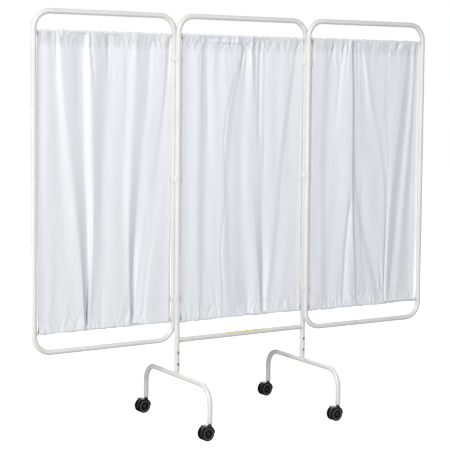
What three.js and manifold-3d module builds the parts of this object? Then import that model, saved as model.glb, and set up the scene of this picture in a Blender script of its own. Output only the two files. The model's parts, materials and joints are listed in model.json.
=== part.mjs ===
// Ward privacy screen on wheels: a centre frame on two castored feet, two hinged wings and three curtains.
// Millimetres, +Z up. X runs along the screen from left to right, and -Y is the front.
import * as THREE from 'three';
import { mergeVertices } from 'three/addons/utils/BufferGeometryUtils.js';
import Module from 'manifold-3d';

const wasm = await Module();
wasm.setup();

// Overall sizes
const OVERALL_HEIGHT = 1714;
const CENTRE_WIDTH = 640;
const WING_WIDTH = 627.5;
const LOWER_RAIL_HEIGHT = 360;

// Tube
const TUBE_RADIUS = 11;
const TUBE_WALL = 1.2;
const TUBE_BEND_RADIUS = 70;
const TUBE_SIDES = 12;
const TUBE_BEND_STEPS = 4;
const JOINER_LENGTH = 70;
const FIT_GAP = 0.3;
const CUT_OVERRUN = 2;
const MERGE_DISTANCE = 1e-4;

// Hinges: the angle of each clip about its centre upright, and the right wing's own turn
const LEFT_CLIP_ANGLE = THREE.MathUtils.degToRad(98);
const RIGHT_CLIP_ANGLE = THREE.MathUtils.degToRad(-97);
const RIGHT_WING_TURN = THREE.MathUtils.degToRad(-1.5);
const CLIP_WALL = 2.1;
const CLIP_LAP = 0.25;
const CLIP_LENGTH = 25;
const CLIP_MOUTH = THREE.MathUtils.degToRad(100);
const CLIP_SIDES = 12;
const CLIP_INSET = 175;

// Feet
const FOOT_HALF_DEPTH = 267;
const FOOT_BEND_RADIUS = 75;
const FOOT_TOP_HEIGHT = 212.5;
const FOOT_SPIGOT_SHOW = 4;

// Foot bolts
const BOLT_RISE = 31.5;
const BOLT_PITCH = 49;
const SPIGOT_OVER_BOLT = 27;
const BOLT_RADIUS = 3;
const BOLT_HEAD_RADIUS = 5.5;
const BOLT_HEAD_HEIGHT = 3.3;
const NUT_RADIUS = 5.8;
const NUT_HEIGHT = 4.5;
const NUT_DOME_HEIGHT = 3.5;
const BOLT_SIDES = 8;
const NUT_SIDES = 6;

// Castors
const WHEEL_RADIUS = 30;
const WHEEL_WIDTH = 12;
const WHEEL_SIDES = 16;
const WHEEL_INNER_FACE = 7.6;
const WHEEL_EDGE = 2;
const WHEEL_RIM_WIDTH = 4.5;
const WHEEL_DISH = 3;
const WHEEL_HUB_RADIUS = 7;
const WHEEL_HUB_SLOPE = 2.5;
const AXLE_RADIUS = 3;
const AXLE_COVER = 5;
const CASTOR_TRAIL = 18.5;
const CASTOR_ANGLE = THREE.MathUtils.degToRad(-176);
const HOOD_WEB_RADIUS = 23;
const HOOD_GUARD_GAP = 1.2;
const HOOD_GUARD_WALL = 2.2;
const HOOD_GUARD_START = THREE.MathUtils.degToRad(0);
const HOOD_GUARD_END = THREE.MathUtils.degToRad(118);
const HOOD_GUARD_STEPS = 6;
const HOOD_BOSS_RADIUS = 8;
const HOOD_BOSS_HEIGHT = 13.5;
const STEM_RADIUS = 4;
const STEM_DEPTH = 21.5;
const STEM_COLLAR_RADIUS = 6.5;
const STEM_COLLAR_HEIGHT = 2;
const SOCKET_DEPTH = 24;
const SOCKET_ROOF = 2;
const SOCKET_FLANGE_HEIGHT = 1.6;

// Curtain rods and their saddles
const ROD_INSET = 79.5;
const ROD_RADIUS = 4;
const ROD_END_GAP = 1;
const ROD_SIDES = 8;
const SADDLE_WALL = 2;
const SADDLE_REACH = 6;
const SADDLE_STEPS = 4;

// Curtains
const CLOTH_THICKNESS = 1.2;
const CLOTH_SIDE_GAP = 1;
const SLEEVE_DEPTH = 46;
const SLEEVE_SEAM = 2;
const SLEEVE_STEPS = 3;
const FOLD_STEPS = 3;
const CURTAIN_ROWS = 4;
const FOLD_DEPTH = 8;
const FOLD_RISE_SHARE = 0.16;

// Fold lines of each curtain from edge to edge: place along the top, the middle and the bottom, then depth
// to the front
const LEFT_FOLD_SHARES = [
  [0, 0, 0, 0], [0.106, 0.257, 0.344, 0.8], [0.224, 0.302, 0.358, -0.9], [0.349, 0.371, 0.379, 1],
  [0.441, 0.425, 0.411, -0.6], [0.559, 0.550, 0.542, 0.3], [0.684, 0.651, 0.642, 0.8],
  [0.713, 0.694, 0.684, -0.8], [0.877, 0.776, 0.706, 0.7], [0.914, 0.815, 0.729, -0.5],
  [0.964, 0.893, 0.810, 0.5], [1, 1, 1, 0],
];
const CENTRE_FOLD_SHARES = [
  [0, 0, 0, 0], [0.105, 0.105, 0.096, 0.5], [0.162, 0.154, 0.146, -0.6], [0.250, 0.240, 0.230, 0.5],
  [0.467, 0.339, 0.310, 0.7], [0.503, 0.368, 0.355, -0.7], [0.549, 0.576, 0.645, 0.7],
  [0.599, 0.648, 0.673, -0.9], [0.665, 0.698, 0.688, 0.7], [0.905, 0.816, 0.711, -0.6],
  [0.958, 0.856, 0.760, 0.6], [1, 1, 1, 0],
];
const RIGHT_FOLD_SHARES = [
  [0, 0, 0, 0], [0.073, 0.073, 0.073, 0.3], [0.304, 0.329, 0.299, 0.7], [0.359, 0.376, 0.317, -0.9],
  [0.411, 0.391, 0.673, 0.3], [0.458, 0.684, 0.681, 0.6], [0.696, 0.709, 0.689, -0.9],
  [0.776, 0.740, 0.695, 0.2], [0.902, 0.783, 0.704, -0.6], [0.961, 0.894, 0.810, 0.7], [1, 1, 1, 0],
];

// Sizes that follow from the ones above
const TUBE_BORE = TUBE_RADIUS - TUBE_WALL;
const TUBE_FLAT = TUBE_RADIUS * Math.cos(Math.PI / TUBE_SIDES);
const TOP_RAIL_HEIGHT = OVERALL_HEIGHT - TUBE_RADIUS;
const TOP_ROD_HEIGHT = TOP_RAIL_HEIGHT - ROD_INSET;
const BOTTOM_ROD_HEIGHT = LOWER_RAIL_HEIGHT + ROD_INSET;
const SPIGOT_RADIUS = TUBE_BORE * Math.cos(Math.PI / TUBE_SIDES) - FIT_GAP;
const SPIGOT_BORE = SPIGOT_RADIUS - TUBE_WALL;
const UPRIGHT_END_HEIGHT = FOOT_TOP_HEIGHT + TUBE_RADIUS + FOOT_SPIGOT_SHOW;
const LOWER_BOLT_HEIGHT = UPRIGHT_END_HEIGHT + BOLT_RISE;
const UPPER_BOLT_HEIGHT = LOWER_BOLT_HEIGHT + BOLT_PITCH;
const SPIGOT_TOP_HEIGHT = UPPER_BOLT_HEIGHT + SPIGOT_OVER_BOLT;
const BOLT_HOLE_RADIUS = (BOLT_RADIUS + FIT_GAP) / Math.cos(Math.PI / BOLT_SIDES);
const BOLT_SEAT = TUBE_FLAT + FIT_GAP;
const CLIP_BORE = (TUBE_RADIUS + FIT_GAP) / Math.cos(Math.PI / CLIP_SIDES);
const CLIP_RADIUS = CLIP_BORE + CLIP_WALL;
const HINGE_PITCH = 2 * (CLIP_RADIUS - CLIP_LAP);
const WHEEL_CENTRE_HEIGHT = WHEEL_RADIUS * Math.cos(Math.PI / WHEEL_SIDES);
const AXLE_HALF_LENGTH = WHEEL_INNER_FACE + WHEEL_WIDTH - WHEEL_DISH - AXLE_COVER;
const AXLE_HOLE_RADIUS = (AXLE_RADIUS + FIT_GAP) / Math.cos(Math.PI / BOLT_SIDES);
const HOOD_TOP_HEIGHT = WHEEL_CENTRE_HEIGHT + WHEEL_RADIUS + HOOD_GUARD_GAP + HOOD_GUARD_WALL;
const STEM_HOLE_RADIUS = (STEM_RADIUS + FIT_GAP) / Math.cos(Math.PI / BOLT_SIDES);
const STEM_FOOT_HEIGHT = HOOD_TOP_HEIGHT - STEM_DEPTH;
const STEM_COLLAR_FOOT = HOOD_TOP_HEIGHT + FIT_GAP;
const STEM_COLLAR_TOP = STEM_COLLAR_FOOT + STEM_COLLAR_HEIGHT;
const SOCKET_FOOT_HEIGHT = STEM_COLLAR_TOP + FIT_GAP;
const LEG_END_HEIGHT = SOCKET_FOOT_HEIGHT + SOCKET_FLANGE_HEIGHT + FIT_GAP;
const STEM_TOP_HEIGHT = LEG_END_HEIGHT + SOCKET_DEPTH - SOCKET_ROOF;

// Materials
const paint = new THREE.MeshStandardMaterial({ color: 0xe6e4df, roughness: 0.35, metalness: 0.1 });
const steel = new THREE.MeshStandardMaterial({ color: 0xb8bbbe, roughness: 0.3, metalness: 0.9 });
const darkSteel = new THREE.MeshStandardMaterial({ color: 0x3a3836, roughness: 0.4, metalness: 0.8 });
const nylon = new THREE.MeshStandardMaterial({ color: 0x141414, roughness: 0.4, metalness: 0 });
const tread = new THREE.MeshStandardMaterial({ color: 0x1c1c1c, roughness: 0.6, metalness: 0 });
const clipPlastic = new THREE.MeshStandardMaterial({ color: 0xf0efeb, roughness: 0.4, metalness: 0 });
const cloth = new THREE.MeshStandardMaterial({ color: 0xdfe4ec, roughness: 0.9, metalness: 0 });

// A manifold solid from a closed geometry
function toSolid(geometry) {
  const bare = geometry.clone();
  bare.deleteAttribute('normal');
  bare.deleteAttribute('uv');
  const merged = mergeVertices(bare, MERGE_DISTANCE);
  const vertProperties = new Float32Array(merged.attributes.position.array);
  const triVerts = new Uint32Array(merged.index.array);
  return new wasm.Manifold(new wasm.Mesh({ numProp: 3, vertProperties, triVerts }));
}

// A geometry from a manifold solid
function toGeometry(solid) {
  const { vertProperties, triVerts } = solid.getMesh();
  const geometry = new THREE.BufferGeometry();
  geometry.setAttribute('position', new THREE.BufferAttribute(new Float32Array(vertProperties), 3));
  geometry.setIndex(new THREE.BufferAttribute(new Uint32Array(triVerts), 1));
  geometry.computeVertexNormals();
  return geometry;
}

function makeMesh(name, geometry, material) {
  const mesh = new THREE.Mesh(geometry, material);
  mesh.name = name;
  return mesh;
}

// Corners of a regular polygon with a flat facing each axis
function polygonPoints(radius, sides) {
  return Array.from({ length: sides }, (_, i) => {
    const angle = (2 * Math.PI * (i + 0.5)) / sides;
    return new THREE.Vector2(radius * Math.cos(angle), radius * Math.sin(angle));
  });
}

function ringShape(radius, bore, sides) {
  const shape = new THREE.Shape(polygonPoints(radius, sides));
  if (bore > 0) shape.holes.push(new THREE.Path(polygonPoints(bore, sides)));
  return shape;
}

// A rod or a ring that stands along Z from one height to another
function column(radius, bore, sides, low, high) {
  const settings = { depth: high - low, bevelEnabled: false };
  return new THREE.ExtrudeGeometry(ringShape(radius, bore, sides), settings).translate(0, 0, low);
}

// A solid of revolution about Z, from points [radius, height] that start and end on the axis
function turned(points, sides) {
  const profile = points.map(([radius, height]) => new THREE.Vector2(radius, height));
  return new THREE.LatheGeometry(profile, sides).rotateX(Math.PI / 2);
}

// A path with one ring at each station, so straight runs stay coarse and bends stay round
class StationPath extends THREE.Curve {
  constructor(stations) {
    super();
    this.stations = stations;
  }

  at(u) {
    return this.stations[Math.round(u * (this.stations.length - 1))];
  }

  getPointAt(u, target = new THREE.Vector3()) {
    return target.copy(this.at(u).point);
  }

  getTangentAt(u, target = new THREE.Vector3()) {
    return target.copy(this.at(u).tangent);
  }
}

// Stations along straight runs between corners, with an arc of the bend radius at each inner corner
function bentStations(corners, bendRadius, steps) {
  const direction = (a, b) => b.clone().sub(a).normalize();
  const stations = [{ point: corners[0], tangent: direction(corners[0], corners[1]) }];
  for (let i = 1; i < corners.length - 1; i += 1) {
    const before = direction(corners[i - 1], corners[i]);
    const after = direction(corners[i], corners[i + 1]);
    const centre = corners[i].clone().addScaledVector(before, -bendRadius).addScaledVector(after, bendRadius);
    for (let step = 0; step <= steps; step += 1) {
      const angle = (Math.PI / 2) * (step / steps);
      const point = centre.clone().addScaledVector(after, -bendRadius * Math.cos(angle));
      point.addScaledVector(before, bendRadius * Math.sin(angle));
      const tangent = before.clone().multiplyScalar(Math.cos(angle)).addScaledVector(after, Math.sin(angle));
      stations.push({ point, tangent });
    }
  }
  const end = corners[corners.length - 1];
  stations.push({ point: end, tangent: direction(corners[corners.length - 2], end) });
  return stations;
}

function bentTube(corners, bendRadius) {
  const stations = bentStations(corners, bendRadius, TUBE_BEND_STEPS);
  return new THREE.ExtrudeGeometry(ringShape(TUBE_RADIUS, TUBE_BORE, TUBE_SIDES), {
    steps: stations.length - 1,
    extrudePath: new StationPath(stations),
  });
}

// A saddle for a rod end: an open-topped cradle that runs from an upright's axis towards +X
function saddle() {
  const inner = (ROD_RADIUS + FIT_GAP) / Math.cos(Math.PI / SADDLE_STEPS / 2);
  const outer = inner + SADDLE_WALL;
  const cradle = (radius) => Array.from({ length: SADDLE_STEPS + 1 }, (_, i) => {
    const angle = Math.PI * (1 + i / SADDLE_STEPS);
    return new THREE.Vector2(radius * Math.cos(angle), radius * Math.sin(angle));
  });
  const points = [
    ...cradle(outer), new THREE.Vector2(outer, ROD_RADIUS), new THREE.Vector2(inner, ROD_RADIUS),
    ...cradle(inner).reverse(), new THREE.Vector2(-inner, ROD_RADIUS), new THREE.Vector2(-outer, ROD_RADIUS),
  ];
  const settings = { depth: TUBE_RADIUS + SADDLE_REACH, bevelEnabled: false };
  const block = new THREE.ExtrudeGeometry(new THREE.Shape(points), settings);
  return block.rotateX(Math.PI / 2).rotateZ(Math.PI / 2);
}

// A frame with a saddle for each rod on both of its uprights, which stand at x = 0 and x = width
function addSaddles(frame, width) {
  const wallMiddle = (TUBE_RADIUS + TUBE_BORE) / 2;
  const reach = 2 * (ROD_RADIUS + SADDLE_WALL);
  let solid = frame;
  for (const height of [TOP_ROD_HEIGHT, BOTTOM_ROD_HEIGHT]) {
    for (const [x, turn] of [[0, 0], [width, Math.PI]]) {
      const cradle = toSolid(saddle().rotateZ(turn).translate(x, 0, height));
      const bore = column(wallMiddle, 0, TUBE_SIDES, height - reach, height + reach).translate(x, 0, 0);
      solid = solid.add(cradle.subtract(toSolid(bore)));
    }
  }
  return solid;
}

// A bolt hole along Y through an upright or a spigot that stands at x
function boltHole(x, height) {
  const reach = TUBE_RADIUS + CUT_OVERRUN;
  const hole = column(BOLT_HOLE_RADIUS, 0, BOLT_SIDES, -reach, reach).rotateX(Math.PI / 2);
  return toSolid(hole.translate(x, 0, height));
}

// Centre frame: an inverted U whose open lower ends take the feet
function centreFrame() {
  const corners = [[0, UPRIGHT_END_HEIGHT], [0, TOP_RAIL_HEIGHT],
    [CENTRE_WIDTH, TOP_RAIL_HEIGHT], [CENTRE_WIDTH, UPRIGHT_END_HEIGHT]];
  const path = corners.map(([x, z]) => new THREE.Vector3(x, 0, z));
  let solid = addSaddles(toSolid(bentTube(path, TUBE_BEND_RADIUS)), CENTRE_WIDTH);
  for (const x of [0, CENTRE_WIDTH]) {
    for (const height of [UPPER_BOLT_HEIGHT, LOWER_BOLT_HEIGHT]) solid = solid.subtract(boltHole(x, height));
  }
  return toGeometry(solid);
}

// Cross bar, fish-mouthed at both ends to sit against the uprights
function crossBar() {
  const bar = column(TUBE_RADIUS, TUBE_BORE, TUBE_SIDES, 0, CENTRE_WIDTH);
  let solid = toSolid(bar.rotateY(Math.PI / 2).translate(0, 0, LOWER_RAIL_HEIGHT));
  const reach = TUBE_RADIUS + CUT_OVERRUN;
  for (const x of [0, CENTRE_WIDTH]) {
    const upright = column(TUBE_RADIUS + FIT_GAP, 0, TUBE_SIDES, -reach, reach);
    solid = solid.subtract(toSolid(upright.translate(x, 0, LOWER_RAIL_HEIGHT)));
  }
  return toGeometry(solid);
}

// Wing frame: a bent loop whose tube ends meet in the middle of the lower rail
function wingFrame() {
  const middle = WING_WIDTH / 2;
  const corners = [[middle + FIT_GAP / 2, LOWER_RAIL_HEIGHT], [WING_WIDTH, LOWER_RAIL_HEIGHT],
    [WING_WIDTH, TOP_RAIL_HEIGHT], [0, TOP_RAIL_HEIGHT], [0, LOWER_RAIL_HEIGHT],
    [middle - FIT_GAP / 2, LOWER_RAIL_HEIGHT]];
  const path = corners.map(([x, z]) => new THREE.Vector3(x, 0, z));
  return toGeometry(addSaddles(toSolid(bentTube(path, TUBE_BEND_RADIUS)), WING_WIDTH));
}

// Joiner: a short tube inside the lower rail, across the meeting of the tube ends
function wingJoiner() {
  const tube = column(SPIGOT_RADIUS, SPIGOT_BORE, TUBE_SIDES, -JOINER_LENGTH / 2, JOINER_LENGTH / 2);
  return tube.rotateY(Math.PI / 2).translate(WING_WIDTH / 2, 0, LOWER_RAIL_HEIGHT);
}

// Foot arch, square to the panel, with its middle at x = 0 and open leg ends
function footArch() {
  const corners = [[FOOT_HALF_DEPTH, LEG_END_HEIGHT], [FOOT_HALF_DEPTH, FOOT_TOP_HEIGHT],
    [-FOOT_HALF_DEPTH, FOOT_TOP_HEIGHT], [-FOOT_HALF_DEPTH, LEG_END_HEIGHT]];
  return bentTube(corners.map(([y, z]) => new THREE.Vector3(0, y, z)), FOOT_BEND_RADIUS);
}

// Foot spigot: stands in the upright's open end, coped to the top of the arch
function footSpigot() {
  let solid = toSolid(column(SPIGOT_RADIUS, SPIGOT_BORE, TUBE_SIDES, FOOT_TOP_HEIGHT, SPIGOT_TOP_HEIGHT));
  const reach = TUBE_RADIUS + CUT_OVERRUN;
  const arch = column(TUBE_RADIUS + FIT_GAP, 0, TUBE_SIDES, -reach, reach).rotateX(Math.PI / 2);
  solid = solid.subtract(toSolid(arch.translate(0, 0, FOOT_TOP_HEIGHT)));
  for (const height of [UPPER_BOLT_HEIGHT, LOWER_BOLT_HEIGHT]) solid = solid.subtract(boltHole(0, height));
  return toGeometry(solid);
}

// Foot bolt along Y, its round head in front and its thread ending inside the nut
function footBolt() {
  const headTop = -BOLT_SEAT - BOLT_HEAD_HEIGHT;
  const tip = BOLT_SEAT + NUT_HEIGHT;
  const points = [[0, headTop], [BOLT_HEAD_RADIUS / 2, headTop],
    [BOLT_HEAD_RADIUS, headTop + BOLT_HEAD_HEIGHT * 2 / 3], [BOLT_HEAD_RADIUS, -BOLT_SEAT],
    [BOLT_RADIUS, -BOLT_SEAT], [BOLT_RADIUS, tip], [0, tip]];
  return turned(points, BOLT_SIDES).rotateX(-Math.PI / 2);
}

// Dome nut on the back of the upright: a hexagon with a closed cap
function footNut() {
  const capFoot = BOLT_SEAT + FIT_GAP;
  const rim = BOLT_SEAT + NUT_HEIGHT;
  const capTop = rim + NUT_DOME_HEIGHT;
  const capRadius = NUT_RADIUS * Math.cos(Math.PI / NUT_SIDES) - FIT_GAP;
  const hexagon = toSolid(column(NUT_RADIUS, 0, NUT_SIDES, BOLT_SEAT, rim));
  const cap = toSolid(turned([[0, capFoot], [capRadius, capFoot], [capRadius, rim],
    [capRadius / 2, capTop], [0, capTop]], BOLT_SIDES));
  const hole = toSolid(column(BOLT_HOLE_RADIUS, 0, BOLT_SIDES, 0, rim + FIT_GAP));
  return toGeometry(hexagon.add(cap).subtract(hole)).rotateX(-Math.PI / 2);
}

// Castor socket: a flanged plug in the leg's open end, bored for the stem
function castorSocket() {
  const plugTop = LEG_END_HEIGHT + SOCKET_DEPTH;
  const flange = toSolid(column(TUBE_RADIUS, 0, TUBE_SIDES, SOCKET_FOOT_HEIGHT, LEG_END_HEIGHT - FIT_GAP));
  const plug = toSolid(column(SPIGOT_RADIUS, 0, TUBE_SIDES, SOCKET_FOOT_HEIGHT, plugTop));
  const hole = column(STEM_HOLE_RADIUS, 0, BOLT_SIDES, HOOD_TOP_HEIGHT, STEM_TOP_HEIGHT + FIT_GAP);
  return toGeometry(flange.add(plug).subtract(toSolid(hole)));
}

// Castor stem: a steel pin with a collar that rests on the hood
function castorStem() {
  return turned([[0, STEM_FOOT_HEIGHT], [STEM_RADIUS, STEM_FOOT_HEIGHT], [STEM_RADIUS, STEM_COLLAR_FOOT],
    [STEM_COLLAR_RADIUS, STEM_COLLAR_FOOT], [STEM_COLLAR_RADIUS, STEM_COLLAR_TOP],
    [STEM_RADIUS, STEM_COLLAR_TOP], [STEM_RADIUS, STEM_TOP_HEIGHT], [0, STEM_TOP_HEIGHT]], BOLT_SIDES);
}

// Castor hood about its stem: a web between the wheels, a guard over them and a boss round the stem.
// The wheels trail towards +X here.
function castorHood() {
  const guardInner = WHEEL_RADIUS + HOOD_GUARD_GAP;
  const guardOuter = guardInner + HOOD_GUARD_WALL;
  const webHalf = WHEEL_INNER_FACE - FIT_GAP * 2;
  const guardHalf = WHEEL_INNER_FACE + WHEEL_WIDTH;
  const arc = (radius, from, to, steps) => Array.from({ length: steps + 1 }, (_, i) => {
    const angle = from + ((to - from) * i) / steps;
    return new THREE.Vector2(radius * Math.cos(angle), radius * Math.sin(angle));
  });
  const slab = (points, half) => {
    const settings = { depth: 2 * half, bevelEnabled: false };
    const geometry = new THREE.ExtrudeGeometry(new THREE.Shape(points), settings).translate(0, 0, -half);
    geometry.rotateX(Math.PI / 2).rotateZ(Math.PI).translate(CASTOR_TRAIL, 0, WHEEL_CENTRE_HEIGHT);
    return toSolid(geometry);
  };
  const guard = slab([...arc(guardOuter, HOOD_GUARD_START, HOOD_GUARD_END, HOOD_GUARD_STEPS),
    ...arc(guardInner, HOOD_GUARD_END, HOOD_GUARD_START, HOOD_GUARD_STEPS)], guardHalf);
  const middle = (guardInner + guardOuter) / 2;
  const web = slab([...arc(middle, HOOD_GUARD_START, HOOD_GUARD_END, HOOD_GUARD_STEPS),
    ...arc(HOOD_WEB_RADIUS, Math.PI, Math.PI * 2, HOOD_GUARD_STEPS / 2)], webHalf);
  const bossFoot = HOOD_TOP_HEIGHT - HOOD_BOSS_HEIGHT;
  const boss = toSolid(column(HOOD_BOSS_RADIUS, 0, BOLT_SIDES, bossFoot, HOOD_TOP_HEIGHT));
  const wheelRoom = column(guardInner, 0, WHEEL_SIDES, webHalf, guardHalf);
  wheelRoom.rotateX(Math.PI / 2).translate(CASTOR_TRAIL, 0, WHEEL_CENTRE_HEIGHT);
  const farRoom = wheelRoom.clone().rotateZ(Math.PI).translate(2 * CASTOR_TRAIL, 0, 0);
  const holeTop = HOOD_TOP_HEIGHT + CUT_OVERRUN;
  const stemHole = column(STEM_HOLE_RADIUS, 0, BOLT_SIDES, STEM_FOOT_HEIGHT - FIT_GAP, holeTop);
  const axleHole = column(AXLE_HOLE_RADIUS, 0, BOLT_SIDES, -guardHalf, guardHalf).rotateX(Math.PI / 2);
  axleHole.translate(CASTOR_TRAIL, 0, WHEEL_CENTRE_HEIGHT);
  let solid = boss.subtract(toSolid(wheelRoom)).subtract(toSolid(farRoom)).add(guard).add(web);
  solid = solid.subtract(toSolid(stemHole)).subtract(toSolid(axleHole));
  return toGeometry(solid);
}

function castorAxle() {
  const axle = column(AXLE_RADIUS, 0, BOLT_SIDES, -AXLE_HALF_LENGTH, AXLE_HALF_LENGTH);
  return axle.rotateX(Math.PI / 2).translate(CASTOR_TRAIL, 0, WHEEL_CENTRE_HEIGHT);
}

// Castor wheel with a dished face and a blind bore, on the -Y side of the hood
function castorWheel() {
  const outer = WHEEL_INNER_FACE + WHEEL_WIDTH;
  const floor = outer - WHEEL_DISH;
  const bore = AXLE_HOLE_RADIUS;
  const rimInner = WHEEL_RADIUS - WHEEL_EDGE - WHEEL_RIM_WIDTH;
  const boreEnd = AXLE_HALF_LENGTH + FIT_GAP;
  const points = [[0, boreEnd], [bore, boreEnd], [bore, WHEEL_INNER_FACE], [WHEEL_RADIUS, WHEEL_INNER_FACE],
    [WHEEL_RADIUS, outer - WHEEL_EDGE], [WHEEL_RADIUS - WHEEL_EDGE, outer], [rimInner, outer],
    [rimInner - WHEEL_DISH, floor], [WHEEL_HUB_RADIUS + WHEEL_HUB_SLOPE, floor],
    [WHEEL_HUB_RADIUS, outer - FIT_GAP], [0, outer - FIT_GAP]];
  const wheel = turned(points, WHEEL_SIDES).rotateZ(Math.PI / WHEEL_SIDES);
  return wheel.rotateX(Math.PI / 2).translate(CASTOR_TRAIL, 0, WHEEL_CENTRE_HEIGHT);
}

// Hinge clip: two open rings side by side, one round each upright, joined where they touch
function hingeClip() {
  const half = CLIP_MOUTH / 2;
  const meet = Math.acos(HINGE_PITCH / 2 / CLIP_RADIUS);
  const steps = CLIP_SIDES / 3;
  const boreSteps = 2 * steps + 1;
  const arc = (x, radius, from, to, count) => Array.from({ length: count + 1 }, (_, i) => {
    const angle = from + ((to - from) * i) / count;
    return new THREE.Vector2(x + radius * Math.cos(angle), radius * Math.sin(angle));
  });
  const points = [
    ...arc(HINGE_PITCH, CLIP_RADIUS, half, Math.PI - meet, steps),
    ...arc(0, CLIP_RADIUS, meet, Math.PI - half, steps).slice(1),
    ...arc(0, CLIP_BORE, Math.PI - half, half - Math.PI, boreSteps),
    ...arc(0, CLIP_RADIUS, half - Math.PI, -meet, steps),
    ...arc(HINGE_PITCH, CLIP_RADIUS, meet - Math.PI, -half, steps).slice(1),
    ...arc(HINGE_PITCH, CLIP_BORE, -half, half - 2 * Math.PI, boreSteps),
  ];
  const settings = { depth: CLIP_LENGTH, bevelEnabled: false };
  return new THREE.ExtrudeGeometry(new THREE.Shape(points), settings).translate(0, 0, -CLIP_LENGTH / 2);
}

// Curtain rod along X between the uprights of a panel
function curtainRod(width, height) {
  const end = TUBE_RADIUS + ROD_END_GAP;
  const rod = column(ROD_RADIUS, 0, ROD_SIDES, end, width - end).rotateY(Math.PI / 2);
  return rod.translate(0, 0, height);
}

// Share of the width and distance to the back, at a place counted in fold lines and at a share of the height
function foldPoint(foldShares, along, down) {
  const line = Math.min(Math.floor(along), foldShares.length - 2);
  const between = along - line;
  const place = ([top, middle, bottom]) => (down < 0.5
    ? THREE.MathUtils.lerp(top, middle, 2 * down)
    : THREE.MathUtils.lerp(middle, bottom, 2 * down - 1));
  const [first, second] = foldShares.slice(line, line + 2);
  const across = THREE.MathUtils.lerp(place(first), place(second), between);
  const rise = Math.min(1, down / FOLD_RISE_SHARE, (1 - down) / FOLD_RISE_SHARE);
  const depth = THREE.MathUtils.lerp(first[3], second[3], THREE.MathUtils.smoothstep(between, 0, 1));
  return { across, back: -FOLD_DEPTH * rise * depth };
}

// One vertical section of a curtain that starts at x = 0: its outline, then the hollow of each sleeve
function curtainSection(width, foldShares, along) {
  const hollowRadius = (ROD_RADIUS + FIT_GAP) / Math.cos(Math.PI / SLEEVE_STEPS / 2);
  const sleeveRadius = hollowRadius + CLOTH_THICKNESS;
  const topSeam = TOP_ROD_HEIGHT - SLEEVE_DEPTH;
  const bottomSeam = BOTTOM_ROD_HEIGHT + SLEEVE_DEPTH;
  const topX = width * foldPoint(foldShares, along, 0).across;
  const bottomX = width * foldPoint(foldShares, along, 1).across;
  const halfTurn = (x, radius, height, from) => Array.from({ length: SLEEVE_STEPS + 1 }, (_, i) => {
    const angle = from + (Math.PI * i) / SLEEVE_STEPS;
    return new THREE.Vector3(x, radius * Math.cos(angle), height + radius * Math.sin(angle));
  });
  const face = (halfThickness) => Array.from({ length: CURTAIN_ROWS + 1 }, (_, i) => {
    const down = i / CURTAIN_ROWS;
    const height = THREE.MathUtils.lerp(topSeam, bottomSeam, down);
    const { across, back } = foldPoint(foldShares, along, down);
    return new THREE.Vector3(width * across, halfThickness + back, height);
  });
  const outline = [
    ...halfTurn(topX, sleeveRadius, TOP_ROD_HEIGHT, 0), ...face(-CLOTH_THICKNESS / 2),
    ...halfTurn(bottomX, sleeveRadius, BOTTOM_ROD_HEIGHT, Math.PI), ...face(CLOTH_THICKNESS / 2).reverse(),
  ];
  const topHollow = [...halfTurn(topX, hollowRadius, TOP_ROD_HEIGHT, 0),
    new THREE.Vector3(topX, 0, topSeam + SLEEVE_SEAM)];
  const bottomHollow = [...halfTurn(bottomX, hollowRadius, BOTTOM_ROD_HEIGHT, Math.PI),
    new THREE.Vector3(bottomX, 0, bottomSeam - SLEEVE_SEAM)];
  return [outline, topHollow, bottomHollow];
}

// Curtain: one cloth with a sleeve round each rod and its main folds between the sleeves
function curtain(width, foldShares) {
  const start = TUBE_RADIUS + SADDLE_REACH + CLOTH_SIDE_GAP;
  const columns = FOLD_STEPS * (foldShares.length - 1);
  const sections = Array.from({ length: columns + 1 },
    (_, i) => curtainSection(width - 2 * start, foldShares, i / FOLD_STEPS));
  const positions = sections.flat(2).flatMap((point) => [start + point.x, point.y, point.z]);
  const total = sections[0].flat().length;
  const indices = [];

  // Skin between neighbouring sections. Both faces of the cloth are split along the same diagonals.
  let first = 0;
  sections[0].forEach((loop, place) => {
    for (let base = 0; base < columns * total; base += total) {
      loop.forEach((point, i) => {
        const next = (i + 1) % loop.length;
        const a = base + first + i;
        const b = base + first + next;
        const skin = loop[next].z > point.z
          ? [a, b, a + total, b, b + total, a + total]
          : [a, b, b + total, a, b + total, a + total];
        indices.push(...(place === 0 ? skin : skin.reverse()));
      });
    }
    first += loop.length;
  });

  // Cut edges at both sides of the cloth
  const closeEdge = (section, base, turn) => {
    const [outline, ...hollows] = section.map((loop) => loop.map(({ y, z }) => new THREE.Vector2(y, z)));
    for (const corners of THREE.ShapeUtils.triangulateShape(outline, hollows)) {
      const ordered = turn ? corners.reverse() : corners;
      indices.push(...ordered.map((corner) => base + corner));
    }
  };
  closeEdge(sections[0], 0, true);
  closeEdge(sections[columns], columns * total, false);

  const geometry = new THREE.BufferGeometry();
  geometry.setAttribute('position', new THREE.BufferAttribute(new Float32Array(positions), 3));
  geometry.setIndex(indices);
  geometry.computeVertexNormals();
  return geometry;
}

// A panel's rods and curtain, with the panel's first upright at x = 0
function panelGoods(prefix, width, foldShares) {
  return [
    makeMesh(`${prefix}_top_rod`, curtainRod(width, TOP_ROD_HEIGHT), steel),
    makeMesh(`${prefix}_bottom_rod`, curtainRod(width, BOTTOM_ROD_HEIGHT), steel),
    makeMesh(`${prefix}_curtain`, curtain(width, foldShares), cloth),
  ];
}

function wing(prefix, foldShares) {
  const group = new THREE.Group();
  group.add(makeMesh(`${prefix}_frame`, wingFrame(), paint));
  group.add(makeMesh(`${prefix}_joiner`, wingJoiner(), steel));
  group.add(...panelGoods(prefix, WING_WIDTH, foldShares));
  return group;
}

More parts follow.
